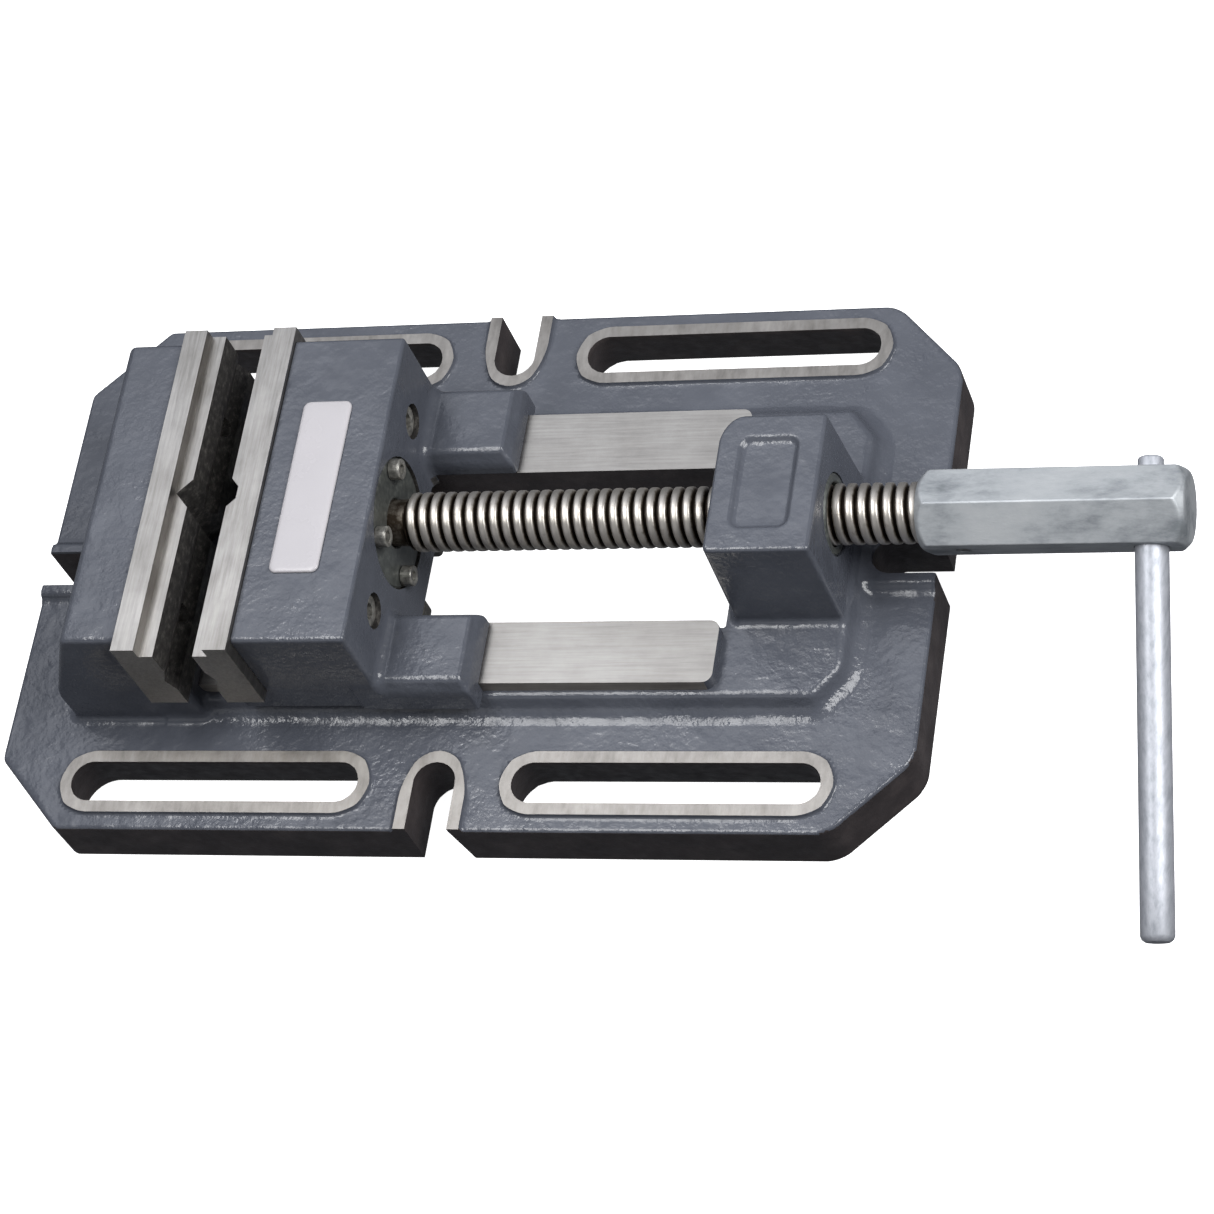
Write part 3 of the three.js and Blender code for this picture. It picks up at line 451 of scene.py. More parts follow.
# ---------------------------------------------------------------- materials
# The scale of a noise node is in blobs to the metre: 1000 over their spacing in millimetres. Marks
# finer than half a millimetre would not show, and are drawn as coarse as they need to be.
NOISE_LEVELS = {"From Min": 0.3, "From Max": 0.7}


def linear(code):
    """An sRGB hex colour as linear RGBA."""
    parts = [int(code[i:i + 2], 16) / 255 for i in (1, 3, 5)]
    return [c / 12.92 if c <= 0.04045 else ((c + 0.055) / 1.055) ** 2.4 for c in parts] + [1.0]


def add(material, kind, inputs=None, stops=(), **settings):
    """Adds a node with its settings and links. An input is a value, an output to link from, or a
    node whose first output is linked. The stops of a colour ramp are (position, hex colour)."""
    node = material.node_tree.nodes.new(kind)
    for name, value in settings.items():
        setattr(node, name, value)
    for name, value in (inputs or {}).items():
        if isinstance(value, bpy.types.Node):
            value = value.outputs[0]
        if isinstance(value, bpy.types.NodeSocket):
            material.node_tree.links.new(value, node.inputs[name])
        else:
            node.inputs[name].default_value = value
    if stops:
        band = node.color_ramp.elements
        while len(band) < len(stops):
            band.new(0.5)
        for element, (position, code) in zip(band, stops):
            element.position = position
            element.color = linear(code)
    return node


def new_material(name):
    """A material whose node tree is empty."""
    material = bpy.data.materials.new(name)
    material.use_nodes = True
    material.node_tree.nodes.clear()
    return material


def cast_enamel():
    """Blue-grey alkyd enamel brushed thick over sand-cast iron: glossy, with slow waves 13 mm apart
    from the casting below and orange peel 2 mm apart from the paint, which runs smooth in places."""
    m = new_material("brushed_enamel_on_cast_iron")
    where = add(m, "ShaderNodeTexCoord").outputs["Object"]
    tone = add(m, "ShaderNodeTexNoise", {"Vector": where, "Scale": 35, "Detail": 4.0, "Roughness": 0.6})
    colour = add(m, "ShaderNodeValToRGB", {"Fac": tone},
                 stops=[(0.3, "#484B53"), (0.5, "#4E5159"), (0.72, "#555860")])
    gloss = add(m, "ShaderNodeTexNoise", {"Vector": where, "Scale": 120, "Detail": 3.0})
    gloss = add(m, "ShaderNodeMapRange", {"Value": gloss, **NOISE_LEVELS, "To Min": 0.16, "To Max": 0.27})
    waves = add(m, "ShaderNodeTexNoise", {"Vector": where, "Scale": 75, "Detail": 2.0})
    waves = add(m, "ShaderNodeBump", {"Height": waves, "Strength": 0.4, "Distance": 0.0022})
    runs = add(m, "ShaderNodeTexNoise", {"Vector": where, "Scale": 26, "Detail": 2.0})
    runs = add(m, "ShaderNodeMapRange", {"Value": runs, **NOISE_LEVELS, "To Min": 0.15, "To Max": 1.0})
    peel = add(m, "ShaderNodeTexNoise", {"Vector": where, "Scale": 480, "Detail": 2.0})
    peel = add(m, "ShaderNodeMath", {0: peel, 1: runs}, operation="MULTIPLY")
    relief = add(m, "ShaderNodeBump", {
        "Height": peel, "Strength": 0.5, "Distance": 0.0008, "Normal": waves})
    shader = add(m, "ShaderNodeBsdfPrincipled", {
        "IOR": 1.52, "Base Color": colour, "Roughness": gloss, "Normal": relief})
    add(m, "ShaderNodeOutputMaterial", {"Surface": shader})
    return m


def shaded_wall_casting():
    """Dark brown put on the cast walls that face sideways or down, as painted shade: dull, sandy at 1 mm,
    mottled.
    """
    m = new_material("painted_shade_on_cast_walls")
    where = add(m, "ShaderNodeTexCoord").outputs["Object"]
    tone = add(m, "ShaderNodeTexNoise", {"Vector": where, "Scale": 60, "Detail": 6.0, "Roughness": 0.65})
    # Painted shade: these dark brown tones stand in for the shade on the walls.
    colour = add(m, "ShaderNodeValToRGB", {"Fac": tone},
                 stops=[(0.3, "#2A2525"), (0.5, "#383232"), (0.75, "#4B4443")])
    gloss = add(m, "ShaderNodeTexNoise", {"Vector": where, "Scale": 200, "Detail": 3.0})
    gloss = add(m, "ShaderNodeMapRange", {"Value": gloss, **NOISE_LEVELS, "To Min": 0.42, "To Max": 0.62})
    waves = add(m, "ShaderNodeTexNoise", {"Vector": where, "Scale": 110, "Detail": 3.0})
    waves = add(m, "ShaderNodeBump", {"Height": waves, "Strength": 0.4, "Distance": 0.0015})
    sand = add(m, "ShaderNodeTexNoise", {"Vector": where, "Scale": 900, "Detail": 3.0})
    relief = add(m, "ShaderNodeBump", {
        "Height": sand, "Strength": 0.5, "Distance": 0.0003, "Normal": waves})
    shader = add(m, "ShaderNodeBsdfPrincipled", {
        "IOR": 1.5, "Base Color": colour, "Roughness": gloss, "Normal": relief})
    add(m, "ShaderNodeOutputMaterial", {"Surface": shader})
    return m


def cut_metal(name, codes, stretch, gloss_levels=(0.34, 0.46), lines=240.0, metallic=1.0):
    """Metal cut flat by a cutter or a wheel: warm grey, with fine lines that are longer than they
    are wide, their count to the metre given, and a few faint stains 22 mm apart."""
    m = new_material(name)
    where = add(m, "ShaderNodeTexCoord").outputs["Object"]
    drawn_out = add(m, "ShaderNodeMapping", {"Vector": where, "Scale": stretch})
    streaks = add(m, "ShaderNodeTexNoise", {
        "Vector": drawn_out, "Scale": lines, "Detail": 4.0, "Roughness": 0.7})
    stains = add(m, "ShaderNodeTexNoise", {"Vector": where, "Scale": 45, "Detail": 4.0, "Roughness": 0.6})
    tone = add(m, "ShaderNodeMix", {"Factor": 0.45, "A": streaks, "B": stains})
    colour = add(m, "ShaderNodeValToRGB", {"Fac": tone}, stops=list(zip((0.32, 0.5, 0.68), codes)))
    gloss = add(m, "ShaderNodeMapRange", {
        "Value": streaks, **NOISE_LEVELS, "To Min": gloss_levels[0], "To Max": gloss_levels[1]})
    relief = add(m, "ShaderNodeBump", {"Height": streaks, "Strength": 0.25, "Distance": 0.00012})
    shader = add(m, "ShaderNodeBsdfPrincipled", {
        "Metallic": metallic, "Base Color": colour, "Roughness": gloss, "Normal": relief})
    add(m, "ShaderNodeOutputMaterial", {"Surface": shader})
    return m


def dark_plate_steel():
    """Tool steel that was hardened and left unground: nearly black oxide with a light network of
    scuffs where work has rubbed it."""
    m = new_material("hardened_steel_oxide")
    where = add(m, "ShaderNodeTexCoord").outputs["Object"]
    drawn_out = add(m, "ShaderNodeMapping", {"Vector": where, "Scale": (1.0, 0.7, 1.0)})
    scuffs = add(m, "ShaderNodeTexNoise", {
        "Vector": drawn_out, "Scale": 420, "Detail": 7.0, "Roughness": 0.72})
    colour = add(m, "ShaderNodeValToRGB", {"Fac": scuffs},
                 stops=[(0.35, "#363433"), (0.52, "#4C4A48"), (0.74, "#85817C")])
    gloss = add(m, "ShaderNodeTexNoise", {"Vector": where, "Scale": 90, "Detail": 3.0})
    gloss = add(m, "ShaderNodeMapRange", {"Value": gloss, **NOISE_LEVELS, "To Min": 0.32, "To Max": 0.55})
    relief = add(m, "ShaderNodeBump", {"Height": scuffs, "Strength": 0.2, "Distance": 0.0002})
    shader = add(m, "ShaderNodeBsdfPrincipled", {
        "Metallic": 0.5, "Base Color": colour, "Roughness": gloss, "Normal": relief})
    add(m, "ShaderNodeOutputMaterial", {"Surface": shader})
    return m


def oiled_steel(name, codes):
    """Machine steel with an oil film on a thin oxide: satin, with worn lighter patches."""
    m = new_material(name)
    where = add(m, "ShaderNodeTexCoord").outputs["Object"]
    wear = add(m, "ShaderNodeTexNoise", {"Vector": where, "Scale": 420, "Detail": 5.0, "Roughness": 0.6})
    colour = add(m, "ShaderNodeValToRGB", {"Fac": wear}, stops=list(zip((0.35, 0.55, 0.75), codes)))
    gloss = add(m, "ShaderNodeMapRange", {"Value": wear, **NOISE_LEVELS, "To Min": 0.28, "To Max": 0.48})
    marks = add(m, "ShaderNodeTexNoise", {"Vector": where, "Scale": 1500, "Detail": 3.0})
    relief = add(m, "ShaderNodeBump", {"Height": marks, "Strength": 0.2, "Distance": 0.0001})
    shader = add(m, "ShaderNodeBsdfPrincipled", {
        "Metallic": 0.6, "Base Color": colour, "Roughness": gloss, "Normal": relief})
    add(m, "ShaderNodeOutputMaterial", {"Surface": shader})
    return m


def thread_steel():
    """Turned trapezoidal thread: bright crests, and painted shade that darkens the colour to dark brown
    towards the roots. The depth attribute is 0 at a crest and 1 at a root; fine turning marks run round."""
    m = new_material("turned_thread_steel")
    where = add(m, "ShaderNodeTexCoord").outputs["Object"]
    depth = add(m, "ShaderNodeAttribute", attribute_name="depth").outputs["Fac"]
    grime = add(m, "ShaderNodeTexNoise", {"Vector": where, "Scale": 260, "Detail": 5.0, "Roughness": 0.65})
    grime = add(m, "ShaderNodeMapRange", {"Value": grime, **NOISE_LEVELS, "To Min": -0.18, "To Max": 0.22})
    shade = add(m, "ShaderNodeMath", {0: depth, 1: grime}, operation="ADD")
    # Painted shade: the colour runs from bright at the crests to dark brown at the roots.
    colour = add(m, "ShaderNodeValToRGB", {"Fac": shade},
                 stops=[(0.1, "#BDB8B1"), (0.3, "#8F887E"), (0.55, "#453B31"), (0.95, "#261F18")])
    gloss = add(m, "ShaderNodeMapRange", {
        "Value": shade, "From Min": 0.0, "From Max": 0.9, "To Min": 0.38, "To Max": 0.6})
    drawn_out = add(m, "ShaderNodeMapping", {"Vector": where, "Scale": (1.0, 0.08, 0.08)})
    marks = add(m, "ShaderNodeTexNoise", {"Vector": drawn_out, "Scale": 2600, "Detail": 2.0})
    relief = add(m, "ShaderNodeBump", {"Height": marks, "Strength": 0.25, "Distance": 0.00008})
    shader = add(m, "ShaderNodeBsdfPrincipled", {
        "Metallic": 0.85, "Base Color": colour, "Roughness": gloss, "Normal": relief})
    add(m, "ShaderNodeOutputMaterial", {"Surface": shader})
    return m


def zinc_hexagon_bar():
    """Hexagon bar, hot zinc coated: pale, slightly blue metal half hidden by a white zinc bloom,
    cloudy with darker wiped patches and small pits under the coat."""
    m = new_material("zinc_coated_hexagon_bar")
    where = add(m, "ShaderNodeTexCoord").outputs["Object"]
    drawn_out = add(m, "ShaderNodeMapping", {"Vector": where, "Scale": (0.45, 1.0, 1.0)})
    clouds = add(m, "ShaderNodeTexNoise", {
        "Vector": drawn_out, "Scale": 55, "Detail": 6.0, "Roughness": 0.68})
    colour = add(m, "ShaderNodeValToRGB", {"Fac": clouds},
                 stops=[(0.34, "#7F8488"), (0.44, "#9EA2A6"), (0.52, "#B1B5B8"), (0.7, "#C1C4C6")])
    gloss = add(m, "ShaderNodeMapRange", {"Value": clouds, **NOISE_LEVELS, "To Min": 0.6, "To Max": 0.42})
    pits = add(m, "ShaderNodeTexNoise", {
        "Vector": drawn_out, "Scale": 700, "Detail": 4.0, "Roughness": 0.7})
    relief = add(m, "ShaderNodeBump", {"Height": pits, "Strength": 0.3, "Distance": 0.0003})
    shader = add(m, "ShaderNodeBsdfPrincipled", {
        "Metallic": 0.5, "Base Color": colour, "Roughness": gloss, "Normal": relief})
    add(m, "ShaderNodeOutputMaterial", {"Surface": shader})
    return m


def zinc_round_bar():
    """Drawn round bar, zinc coated: pale satin metal under an even white bloom, with tiny pits
    drawn out along it."""
    m = new_material("zinc_coated_round_bar")
    where = add(m, "ShaderNodeTexCoord").outputs["Object"]
    drawn_out = add(m, "ShaderNodeMapping", {"Vector": where, "Scale": (1.0, 0.25, 1.0)})
    grain = add(m, "ShaderNodeTexNoise", {
        "Vector": drawn_out, "Scale": 480, "Detail": 5.0, "Roughness": 0.65})
    colour = add(m, "ShaderNodeValToRGB", {"Fac": grain},
                 stops=[(0.3, "#9599A0"), (0.5, "#ABAEB5"), (0.75, "#BBBEC4")])
    gloss = add(m, "ShaderNodeTexNoise", {"Vector": where, "Scale": 140, "Detail": 4.0})
    gloss = add(m, "ShaderNodeMapRange", {"Value": gloss, **NOISE_LEVELS, "To Min": 0.42, "To Max": 0.55})
    relief = add(m, "ShaderNodeBump", {"Height": grain, "Strength": 0.25, "Distance": 0.0002})
    shader = add(m, "ShaderNodeBsdfPrincipled", {
        "Metallic": 0.4, "Base Color": colour, "Roughness": gloss, "Normal": relief})
    add(m, "ShaderNodeOutputMaterial", {"Surface": shader})
    return m


def domed_label():
    """Silver film under a clear resin dome, left blank: pale, glossy, faintly uneven."""
    m = new_material("pale_resin_dome_label")
    where = add(m, "ShaderNodeTexCoord").outputs["Object"]
    tone = add(m, "ShaderNodeTexNoise", {"Vector": where, "Scale": 40, "Detail": 3.0})
    colour = add(m, "ShaderNodeValToRGB", {"Fac": tone}, stops=[(0.3, "#B2AFB2"), (0.7, "#B6B3B6")])
    gloss = add(m, "ShaderNodeTexNoise", {"Vector": where, "Scale": 60, "Detail": 3.0})
    gloss = add(m, "ShaderNodeMapRange", {"Value": gloss, **NOISE_LEVELS, "To Min": 0.2, "To Max": 0.3})
    waves = add(m, "ShaderNodeTexNoise", {"Vector": where, "Scale": 90, "Detail": 3.0})
    relief = add(m, "ShaderNodeBump", {"Height": waves, "Strength": 0.05, "Distance": 0.0003})
    shader = add(m, "ShaderNodeBsdfPrincipled", {
        "IOR": 1.49, "Base Color": colour, "Roughness": gloss, "Normal": relief})
    add(m, "ShaderNodeOutputMaterial", {"Surface": shader})
    return m


def pale_sweep():
    """Backlit white acrylic sheet for the ground: nearly white, matt, with the light from behind
    it evening out the shadow of the vise."""
    m = new_material("backlit_white_acrylic")
    where = add(m, "ShaderNodeTexCoord").outputs["Object"]
    gloss = add(m, "ShaderNodeTexNoise", {"Vector": where, "Scale": 3.0, "Detail": 3.0})
    gloss = add(m, "ShaderNodeMapRange", {"Value": gloss, **NOISE_LEVELS, "To Min": 0.75, "To Max": 0.85})
    shader = add(m, "ShaderNodeBsdfPrincipled", {
        "Base Color": linear("#F4F4F4"), "Emission Color": linear("#FFFFFF"),
        "Emission Strength": 0.95, "Roughness": gloss})
    add(m, "ShaderNodeOutputMaterial", {"Surface": shader})
    return m


ENAMEL = cast_enamel()
# The dark brown material below is painted shade for the cast walls that face sideways or down.
SHADED_WALLS = shaded_wall_casting()
RIM_IRON = cut_metal(
    "milled_cast_iron_rims", ("#7A7671", "#95918C", "#ABA7A2"), (1.0, 0.3, 1.0))
WAY_IRON = cut_metal(
    "ground_cast_iron_ways", ("#8F8C88", "#A09D99", "#AFADA9"), (0.04, 1.0, 1.0), (0.36, 0.46), 900.0)
PLATE_STEEL = cut_metal(
    "surface_ground_tool_steel", ("#87847F", "#A19E9A", "#B8B5B1"), (1.0, 0.05, 1.0), (0.32, 0.46), 900.0)
FLANK_IRON = cut_metal(
    "milled_way_flanks", ("#6E6862", "#8A847D", "#A39D95"), (0.05, 1.0, 1.0), (0.4, 0.5), 700.0, 0.4)
OXIDE = dark_plate_steel()
THREAD = thread_steel()
SCREW_STEEL = oiled_steel("turned_cap_screw_steel", ("#6C6B67", "#93918B", "#B4B2AB"))
DISC_STEEL = oiled_steel("turned_disc_steel", ("#565957", "#6A6D6A", "#858883"))
KEEPER_STEEL = oiled_steel("milled_keeper_steel", ("#4A4946", "#605E5A", "#85827C"))
HUB_ZINC = zinc_hexagon_bar()
BAR_ZINC = zinc_round_bar()
LABEL = domed_label()


# ---------------------------------------------------------------- castings and jaw plates
def casting(name, field, lines, sort_faces, body, node, materials):
    """Builds one piece from its field and sorts its faces between its materials."""
    vertices, quads = contour(field, lines)
    normals = corner_normals(field, vertices, quads)
    centres, facing = vertices[quads].mean(1), normals.mean(1)
    obj = make_mesh(name, vertices, quads, normals)
    return finish_piece(obj, body, [node], materials, sort_faces(centres.T, facing.T))


def base_faces(at, facing):
    """0 enamel, 1 painted shade on the walls that face sideways or down, 2 milled rims, 3 ground ways, 4
    milled flanks of the ways.
    """
    x, y, z = at
    ay = np.abs(y)
    choice = np.zeros(len(x), int)
    # Walls of the plate, slots and window, and faces that point down, take the dark brown of painted shade.
    wall = np.abs(facing[2]) < 0.45
    edge = plate_plan(x, ay) > -0.6
    slots = np.minimum(np.minimum(long_slots(x, ay, z), side_slots(x, ay, z)), end_slots(x, y)) < 0.3
    choice[wall & (z < PLATE_TOP + 2) & (edge | slots)] = 1
    choice[wall & (np.abs(base_window(x, ay)) < 0.4)] = 1
    choice[facing[2] < -0.4] = 1
    choice[(np.abs(z - RIM_TOP) < 0.1) & (facing[2] > 0.98) & (ay > 80)] = 2
    strip = (np.abs(z - WAY_TOP) < 0.1) & (facing[2] > 0.98) & (ay < WAY_OUTER + 0.2) & (x < WAY_END + 1)
    side = (np.abs(ay - WAY_OUTER) < 0.15) & (z > LEDGE_TOP) & (z < WAY_TOP) & (x < WAY_END - 3)
    choice[strip] = 3
    choice[side] = 4
    return choice


base_lines = (
    graded(BASE_LOW[0] - 1.1, BASE_HIGH[0] + 1.3, 2.35,
           (BASE_LOW[0] + 1, -61, -41, -16.3, WAY_END, 221, 228, 252, 261, 267, BASE_HIGH[0] - 1), 1.0, 3.2),
    graded(-HALF_WIDTH - 1.1, HALF_WIDTH + 1.3, 2.3,
           (-119, -113, -86, -70, -63, -35, -30.4, -20, 20, 30.4, 35, 63, 70, 86, 113, 119), 1.0, 2.4),
    np.concatenate([[-1.3, 1.1, 5.2, 9.9, 14.6, 18.1, 20.4, 21.9, 22.9, 24.5, 26.4, 27.6],
                    np.arange(29.1, 42, 1.5), np.arange(43.2, 80, 3.0), np.arange(80.7, 91, 1.1)]),
)
casting("base_body", base_field, base_lines, base_faces, "base", "base_casting",
        [ENAMEL, SHADED_WALLS, RIM_IRON, WAY_IRON, FLANK_IRON])


def jaw_faces(at, facing):
    """0 enamel, 1 milled iron on the guides, the seat and the recesses."""
    x, y, z = at
    ay = np.abs(y)
    choice = np.zeros(len(x), int)
    choice[(facing[2] < -0.5) & (z < 45)] = 1
    choice[(x < JAW_SEAT_X + 0.4) & (facing[0] < -0.9)] = 1
    inner = (ay < 62.8) & (z < 38.8) & (np.abs(facing[1]) > 0.5)
    bore = (tube(y, z, 0, AXIS_Z, DISC_R + 0.6) < 0) & (x < BACK_X - 0.2) & (x > 60)
    holes = tube(ay, z, PLATE_SCREW_Y, PLATE_SCREW_Z, COUNTERBORE + 0.3) < 0
    choice[inner | bore | holes & (x < BACK_X - 0.2) & (x > 60)] = 1
    return choice


jaw_lines = (
    graded(JAW_LOW[0] - 1.1, JAW_HIGH[0] + 1.1, 1.9, (33.5, 79.5, 84, 116, 119), 0.7, 2.6),
    graded(-WING_OUTER - 1.2, WING_OUTER + 1.1, 1.9,
           (-69.5, -66, -38, -34.5, 34.5, 38, 66, 69.5), 0.8, 2.4),
    graded(17.9, JAW_TOP + 1.1, 1.9, (19, 33, 38.9, 45, 50.5, 87), 0.7, 2.2),
)
casting("jaw_body", jaw_field, jaw_lines, jaw_faces, "movable_jaw", "movable_jaw_casting",
        [ENAMEL, OXIDE])


def plate_faces(front):
    """0 ground steel, 1 dark oxide on the clamping side, the groove, the notch and the bottom."""
    def sort(at, facing):
        x, y, z = at
        toward = facing[0] * (1 if front == FIXED_HIGH[0] else -1)
        choice = np.zeros(len(x), int)
        choice[(toward > 0.3) & (z < FIXED_HIGH[2] - STEP_DROP + 0.1)] = 1
        choice[(facing[2] < -0.5) | (np.abs(facing[1]) > 0.5) & (np.abs(y) < 70)] = 1
        return choice
    return sort


for piece, node, body, back, front in (
    ("fixed_plate", "fixed_jaw_plate", "base", FIXED_LOW[0], FIXED_HIGH[0]),
    ("moving_plate", "movable_jaw_plate", "movable_jaw", MOVING_HIGH[0], MOVING_LOW[0]),
):
    low, high = min(back, front), max(back, front)
    lines = (
        np.linspace(low - 0.63, high + 0.71, 19),
        graded(-75.9, 75.8, 2.0, (-75, -44, 0, 44, 75), 0.8, 5),
        np.linspace(FIXED_LOW[2] - 0.57, FIXED_HIGH[2] + 0.63, 46),
    )
    field = lambda x, y, z, back=back, front=front: jaw_plate_field(x, y, z, back, front)
    casting(piece, field, lines, plate_faces(front), body, node,
            [PLATE_STEEL, OXIDE])


# ---------------------------------------------------------------- turned pieces
def close_up(obj, sharp=32.0):
    """Merges the points that a turned surface has at its poles, points its faces outwards and
    keeps edges steeper than the given angle crisp."""
    mesh = obj.data
    shape = bmesh.new()
    shape.from_mesh(mesh)
    bmesh.ops.remove_doubles(shape, verts=shape.verts, dist=1e-7)
    bmesh.ops.dissolve_degenerate(shape, edges=shape.edges, dist=1e-8)
    bmesh.ops.recalc_face_normals(shape, faces=shape.faces)
    shape.to_mesh(mesh)
    shape.free()
    mesh.set_sharp_from_angle(angle=math.radians(sharp))
    return obj


def ring_quads(rings, around):
    """Quads between neighbouring rings of a closed tube of rings."""
    i, j = np.meshgrid(np.arange(rings - 1), np.arange(around), indexing="ij")
    a, b = i * around + j, i * around + (j + 1) % around
    return np.stack([a, b, b + around, a + around], -1).reshape(-1, 4)


def axes_of(direction):
    """Three unit axes as rows: the direction, and two square to it."""
    d = np.array(direction, float) / np.linalg.norm(direction)
    up = np.array([0.0, 0.0, 1.0]) if abs(d[2]) < 0.9 else np.array([1.0, 0.0, 0.0])
    side = np.cross(up, d)
    side /= np.linalg.norm(side)
    return np.stack([d, side, np.cross(d, side)])


def turned(name, profile, origin, direction, around=64, sharp=32.0):
    """A profile of (distance along, radius) turned about a line; a radius may be an array with a
    value for each step round the turn, which gives a hexagonal socket or a knurled rim."""
    angle = np.arange(around) * 2 * math.pi / around
    radius = np.stack([np.broadcast_to(r, around) for _, r in profile])
    along = np.array([t for t, _ in profile])[:, None] + 0 * radius
    local = np.stack([along, radius * np.cos(angle), radius * np.sin(angle)], -1)
    points = local.reshape(-1, 3) @ axes_of(direction) + np.array(origin)
    return close_up(make_mesh(name, points, ring_quads(len(profile), around)), sharp)


def hexagon(across_flats, around):
    """Distance from the middle of a hexagon to its edge at each step round it."""
    angle = np.arange(around) * 2 * math.pi / around
    return across_flats / 2 / np.cos((angle + math.pi / 6) % (math.pi / 3) - math.pi / 6)


def cap_screw(name, node, body, head, height, key, direction=(1, 0, 0), knurl=0.09):
    """Socket head cap screw: knurled head with a rolled rim, and a hexagonal socket with a
    chamfered mouth. Only the head and a short neck show."""
    low, high = ends(node)
    d = np.array(direction, float)
    middle = (low + high) / 2
    top = np.where(d > 0, high, np.where(d < 0, low, middle))
    around = 72
    ridge = head - knurl * (np.arange(around) % 3 == 0)
    socket = hexagon(key, around)
    mouth = key / 2 * 1.2
    profile = [
        (-height - 6, 0.0), (-height - 6, head * 0.55), (-height, head * 0.55), (-height, head - 0.35),
        (-height + 0.35, ridge), (-1.1, ridge), (-1.0, head), (-0.45, head), (-0.12, head - 0.25),
        (0, head - 0.6), (0, mouth + 0.3), (-0.3, socket), (-height * 0.6, socket),
        (-height * 0.6 - 0.5, 0.0),
    ]
    piece = turned(name, profile, top, direction, around, 38.0)
    return finish_piece(piece, body, [node], [SCREW_STEEL])


def trapezoid_screw():
    """Lead screw: right-hand trapezoidal thread. One turn's profile is carried along a helix, so
    each point sits at turn + profile place + angle / 360 of a pitch, at the profile's radius; the
    radius is held down to the neck at the jaw end and at the last turn."""
    pitch, crest, root, around = 5.0, 12.0, 9.4, 64
    place = np.array([-2.1, -1.86, -1.62, -1.3, -0.7, 0.7, 1.3, 1.62, 1.86, 2.1, 2.5])
    level = np.array([0, 0.3, 0.72, 0.94, 1.0, 1.0, 0.94, 0.72, 0.3, 0, 0])
    start, stop = DISC_LOW[0] + 0.5, HUB_LOW[0] + 0.8
    neck_end = DISC_HIGH[0] + 6.6
    turns = np.arange(math.floor(start / pitch) - 3, math.ceil(stop / pitch) + 3)
    along = (turns[:, None] * pitch + place).ravel()
    height = np.tile(level, len(turns))
    angle = np.arange(around) * 2 * math.pi / around
    x = along[:, None] + pitch * angle / (2 * math.pi)
    taper = np.clip((x - neck_end) / 2.2, 0, 1) * np.clip((HUB_LOW[0] + 1 - x) / 1.5 + 0.5, 0, 1)
    radius = root + (crest - root) * np.minimum(height[:, None], taper)
    radius = np.where((x < start - pitch - 0.1) | (x > stop + pitch + 0.1), 0.0, radius)
    x = np.clip(x, start, stop)
    points = np.stack([x, -radius * np.sin(angle), AXIS_Z + radius * np.cos(angle)], -1)
    i, j = np.meshgrid(np.arange(len(along) - len(place) - 1), np.arange(around), indexing="ij")
    nxt = np.where(j + 1 < around, i * around + j + 1, (i + len(place)) * around)
    nxt_up = np.where(j + 1 < around, (i + 1) * around + j + 1, (i + 1 + len(place)) * around)
    quads = np.stack([i * around + j, nxt, nxt_up, (i + 1) * around + j], -1).reshape(-1, 4)
    obj = close_up(make_mesh("lead_screw_thread", points.reshape(-1, 3), quads), 50.0)
    co = np.empty(len(obj.data.vertices) * 3)
    obj.data.vertices.foreach_get("co", co)
    co = co.reshape(-1, 3) / MM
    # The depth sets the painted shade of the thread roots; the neck takes a fixed middle value.
    depth = (crest - np.hypot(co[:, 1], co[:, 2] - AXIS_Z)) / (crest - root)
    depth = np.where(co[:, 0] < neck_end - 0.2, 0.45, depth)
    layer = obj.data.attributes.new("depth", "FLOAT", "POINT")
    layer.data.foreach_set("value", depth.astype(np.float32))
    return finish_piece(obj, "screw", ["lead_screw"], [THREAD])


trapezoid_screw()

disc_profile = [
    (0.5, 9.9), (DISC_HIGH[0] - DISC_LOW[0] - 0.5, 9.9), (DISC_HIGH[0] - DISC_LOW[0], 10.5),
    (DISC_HIGH[0] - DISC_LOW[0], DISC_R - 0.8), (DISC_HIGH[0] - DISC_LOW[0] - 0.6, DISC_R),
    (0.5, DISC_R), (0.5, 9.9),
]
disc = turned("retainer_disc", disc_profile, (DISC_LOW[0], 0, AXIS_Z), (1, 0, 0), 96)
finish_piece(disc, "movable_jaw", ["retainer_plate"], [DISC_STEEL])

for number in (1, 2, 3, 4):
    cap_screw(f"retainer_cap_screw_{number}", f"retainer_screw_{number}", "movable_jaw", 4.25, 5.0, 4.0)
    cap_screw(f"keeper_cap_screw_{number}", f"keeper_screw_{number}", "movable_jaw", 5.0, 6.0, 5.0,
              (0, 0, -1))
for side in ("near", "far"):
    cap_screw(f"jaw_cap_screw_{side}", f"movable_plate_screw_{side}", "movable_jaw", 6.5, 8.0, 6.0)
    cap_screw(f"rear_cap_screw_{side}", f"fixed_plate_screw_{side}", "base", 6.5, 8.0, 6.0, (-1, 0, 0))

nut_profile = [
    (0, 12.6), (NUT_HIGH[0] - NUT_LOW[0] - 0.5, 12.6), (NUT_HIGH[0] - NUT_LOW[0], 13.2),
    (NUT_HIGH[0] - NUT_LOW[0], 15.3), (NUT_HIGH[0] - NUT_LOW[0] - 0.7, 16.0), (0, 16.0), (0, 12.6),
]
nut = turned("screw_nut", nut_profile, (NUT_LOW[0], 0, AXIS_Z), (1, 0, 0), 96)
finish_piece(nut, "base", ["nut_bush"], [DISC_STEEL])

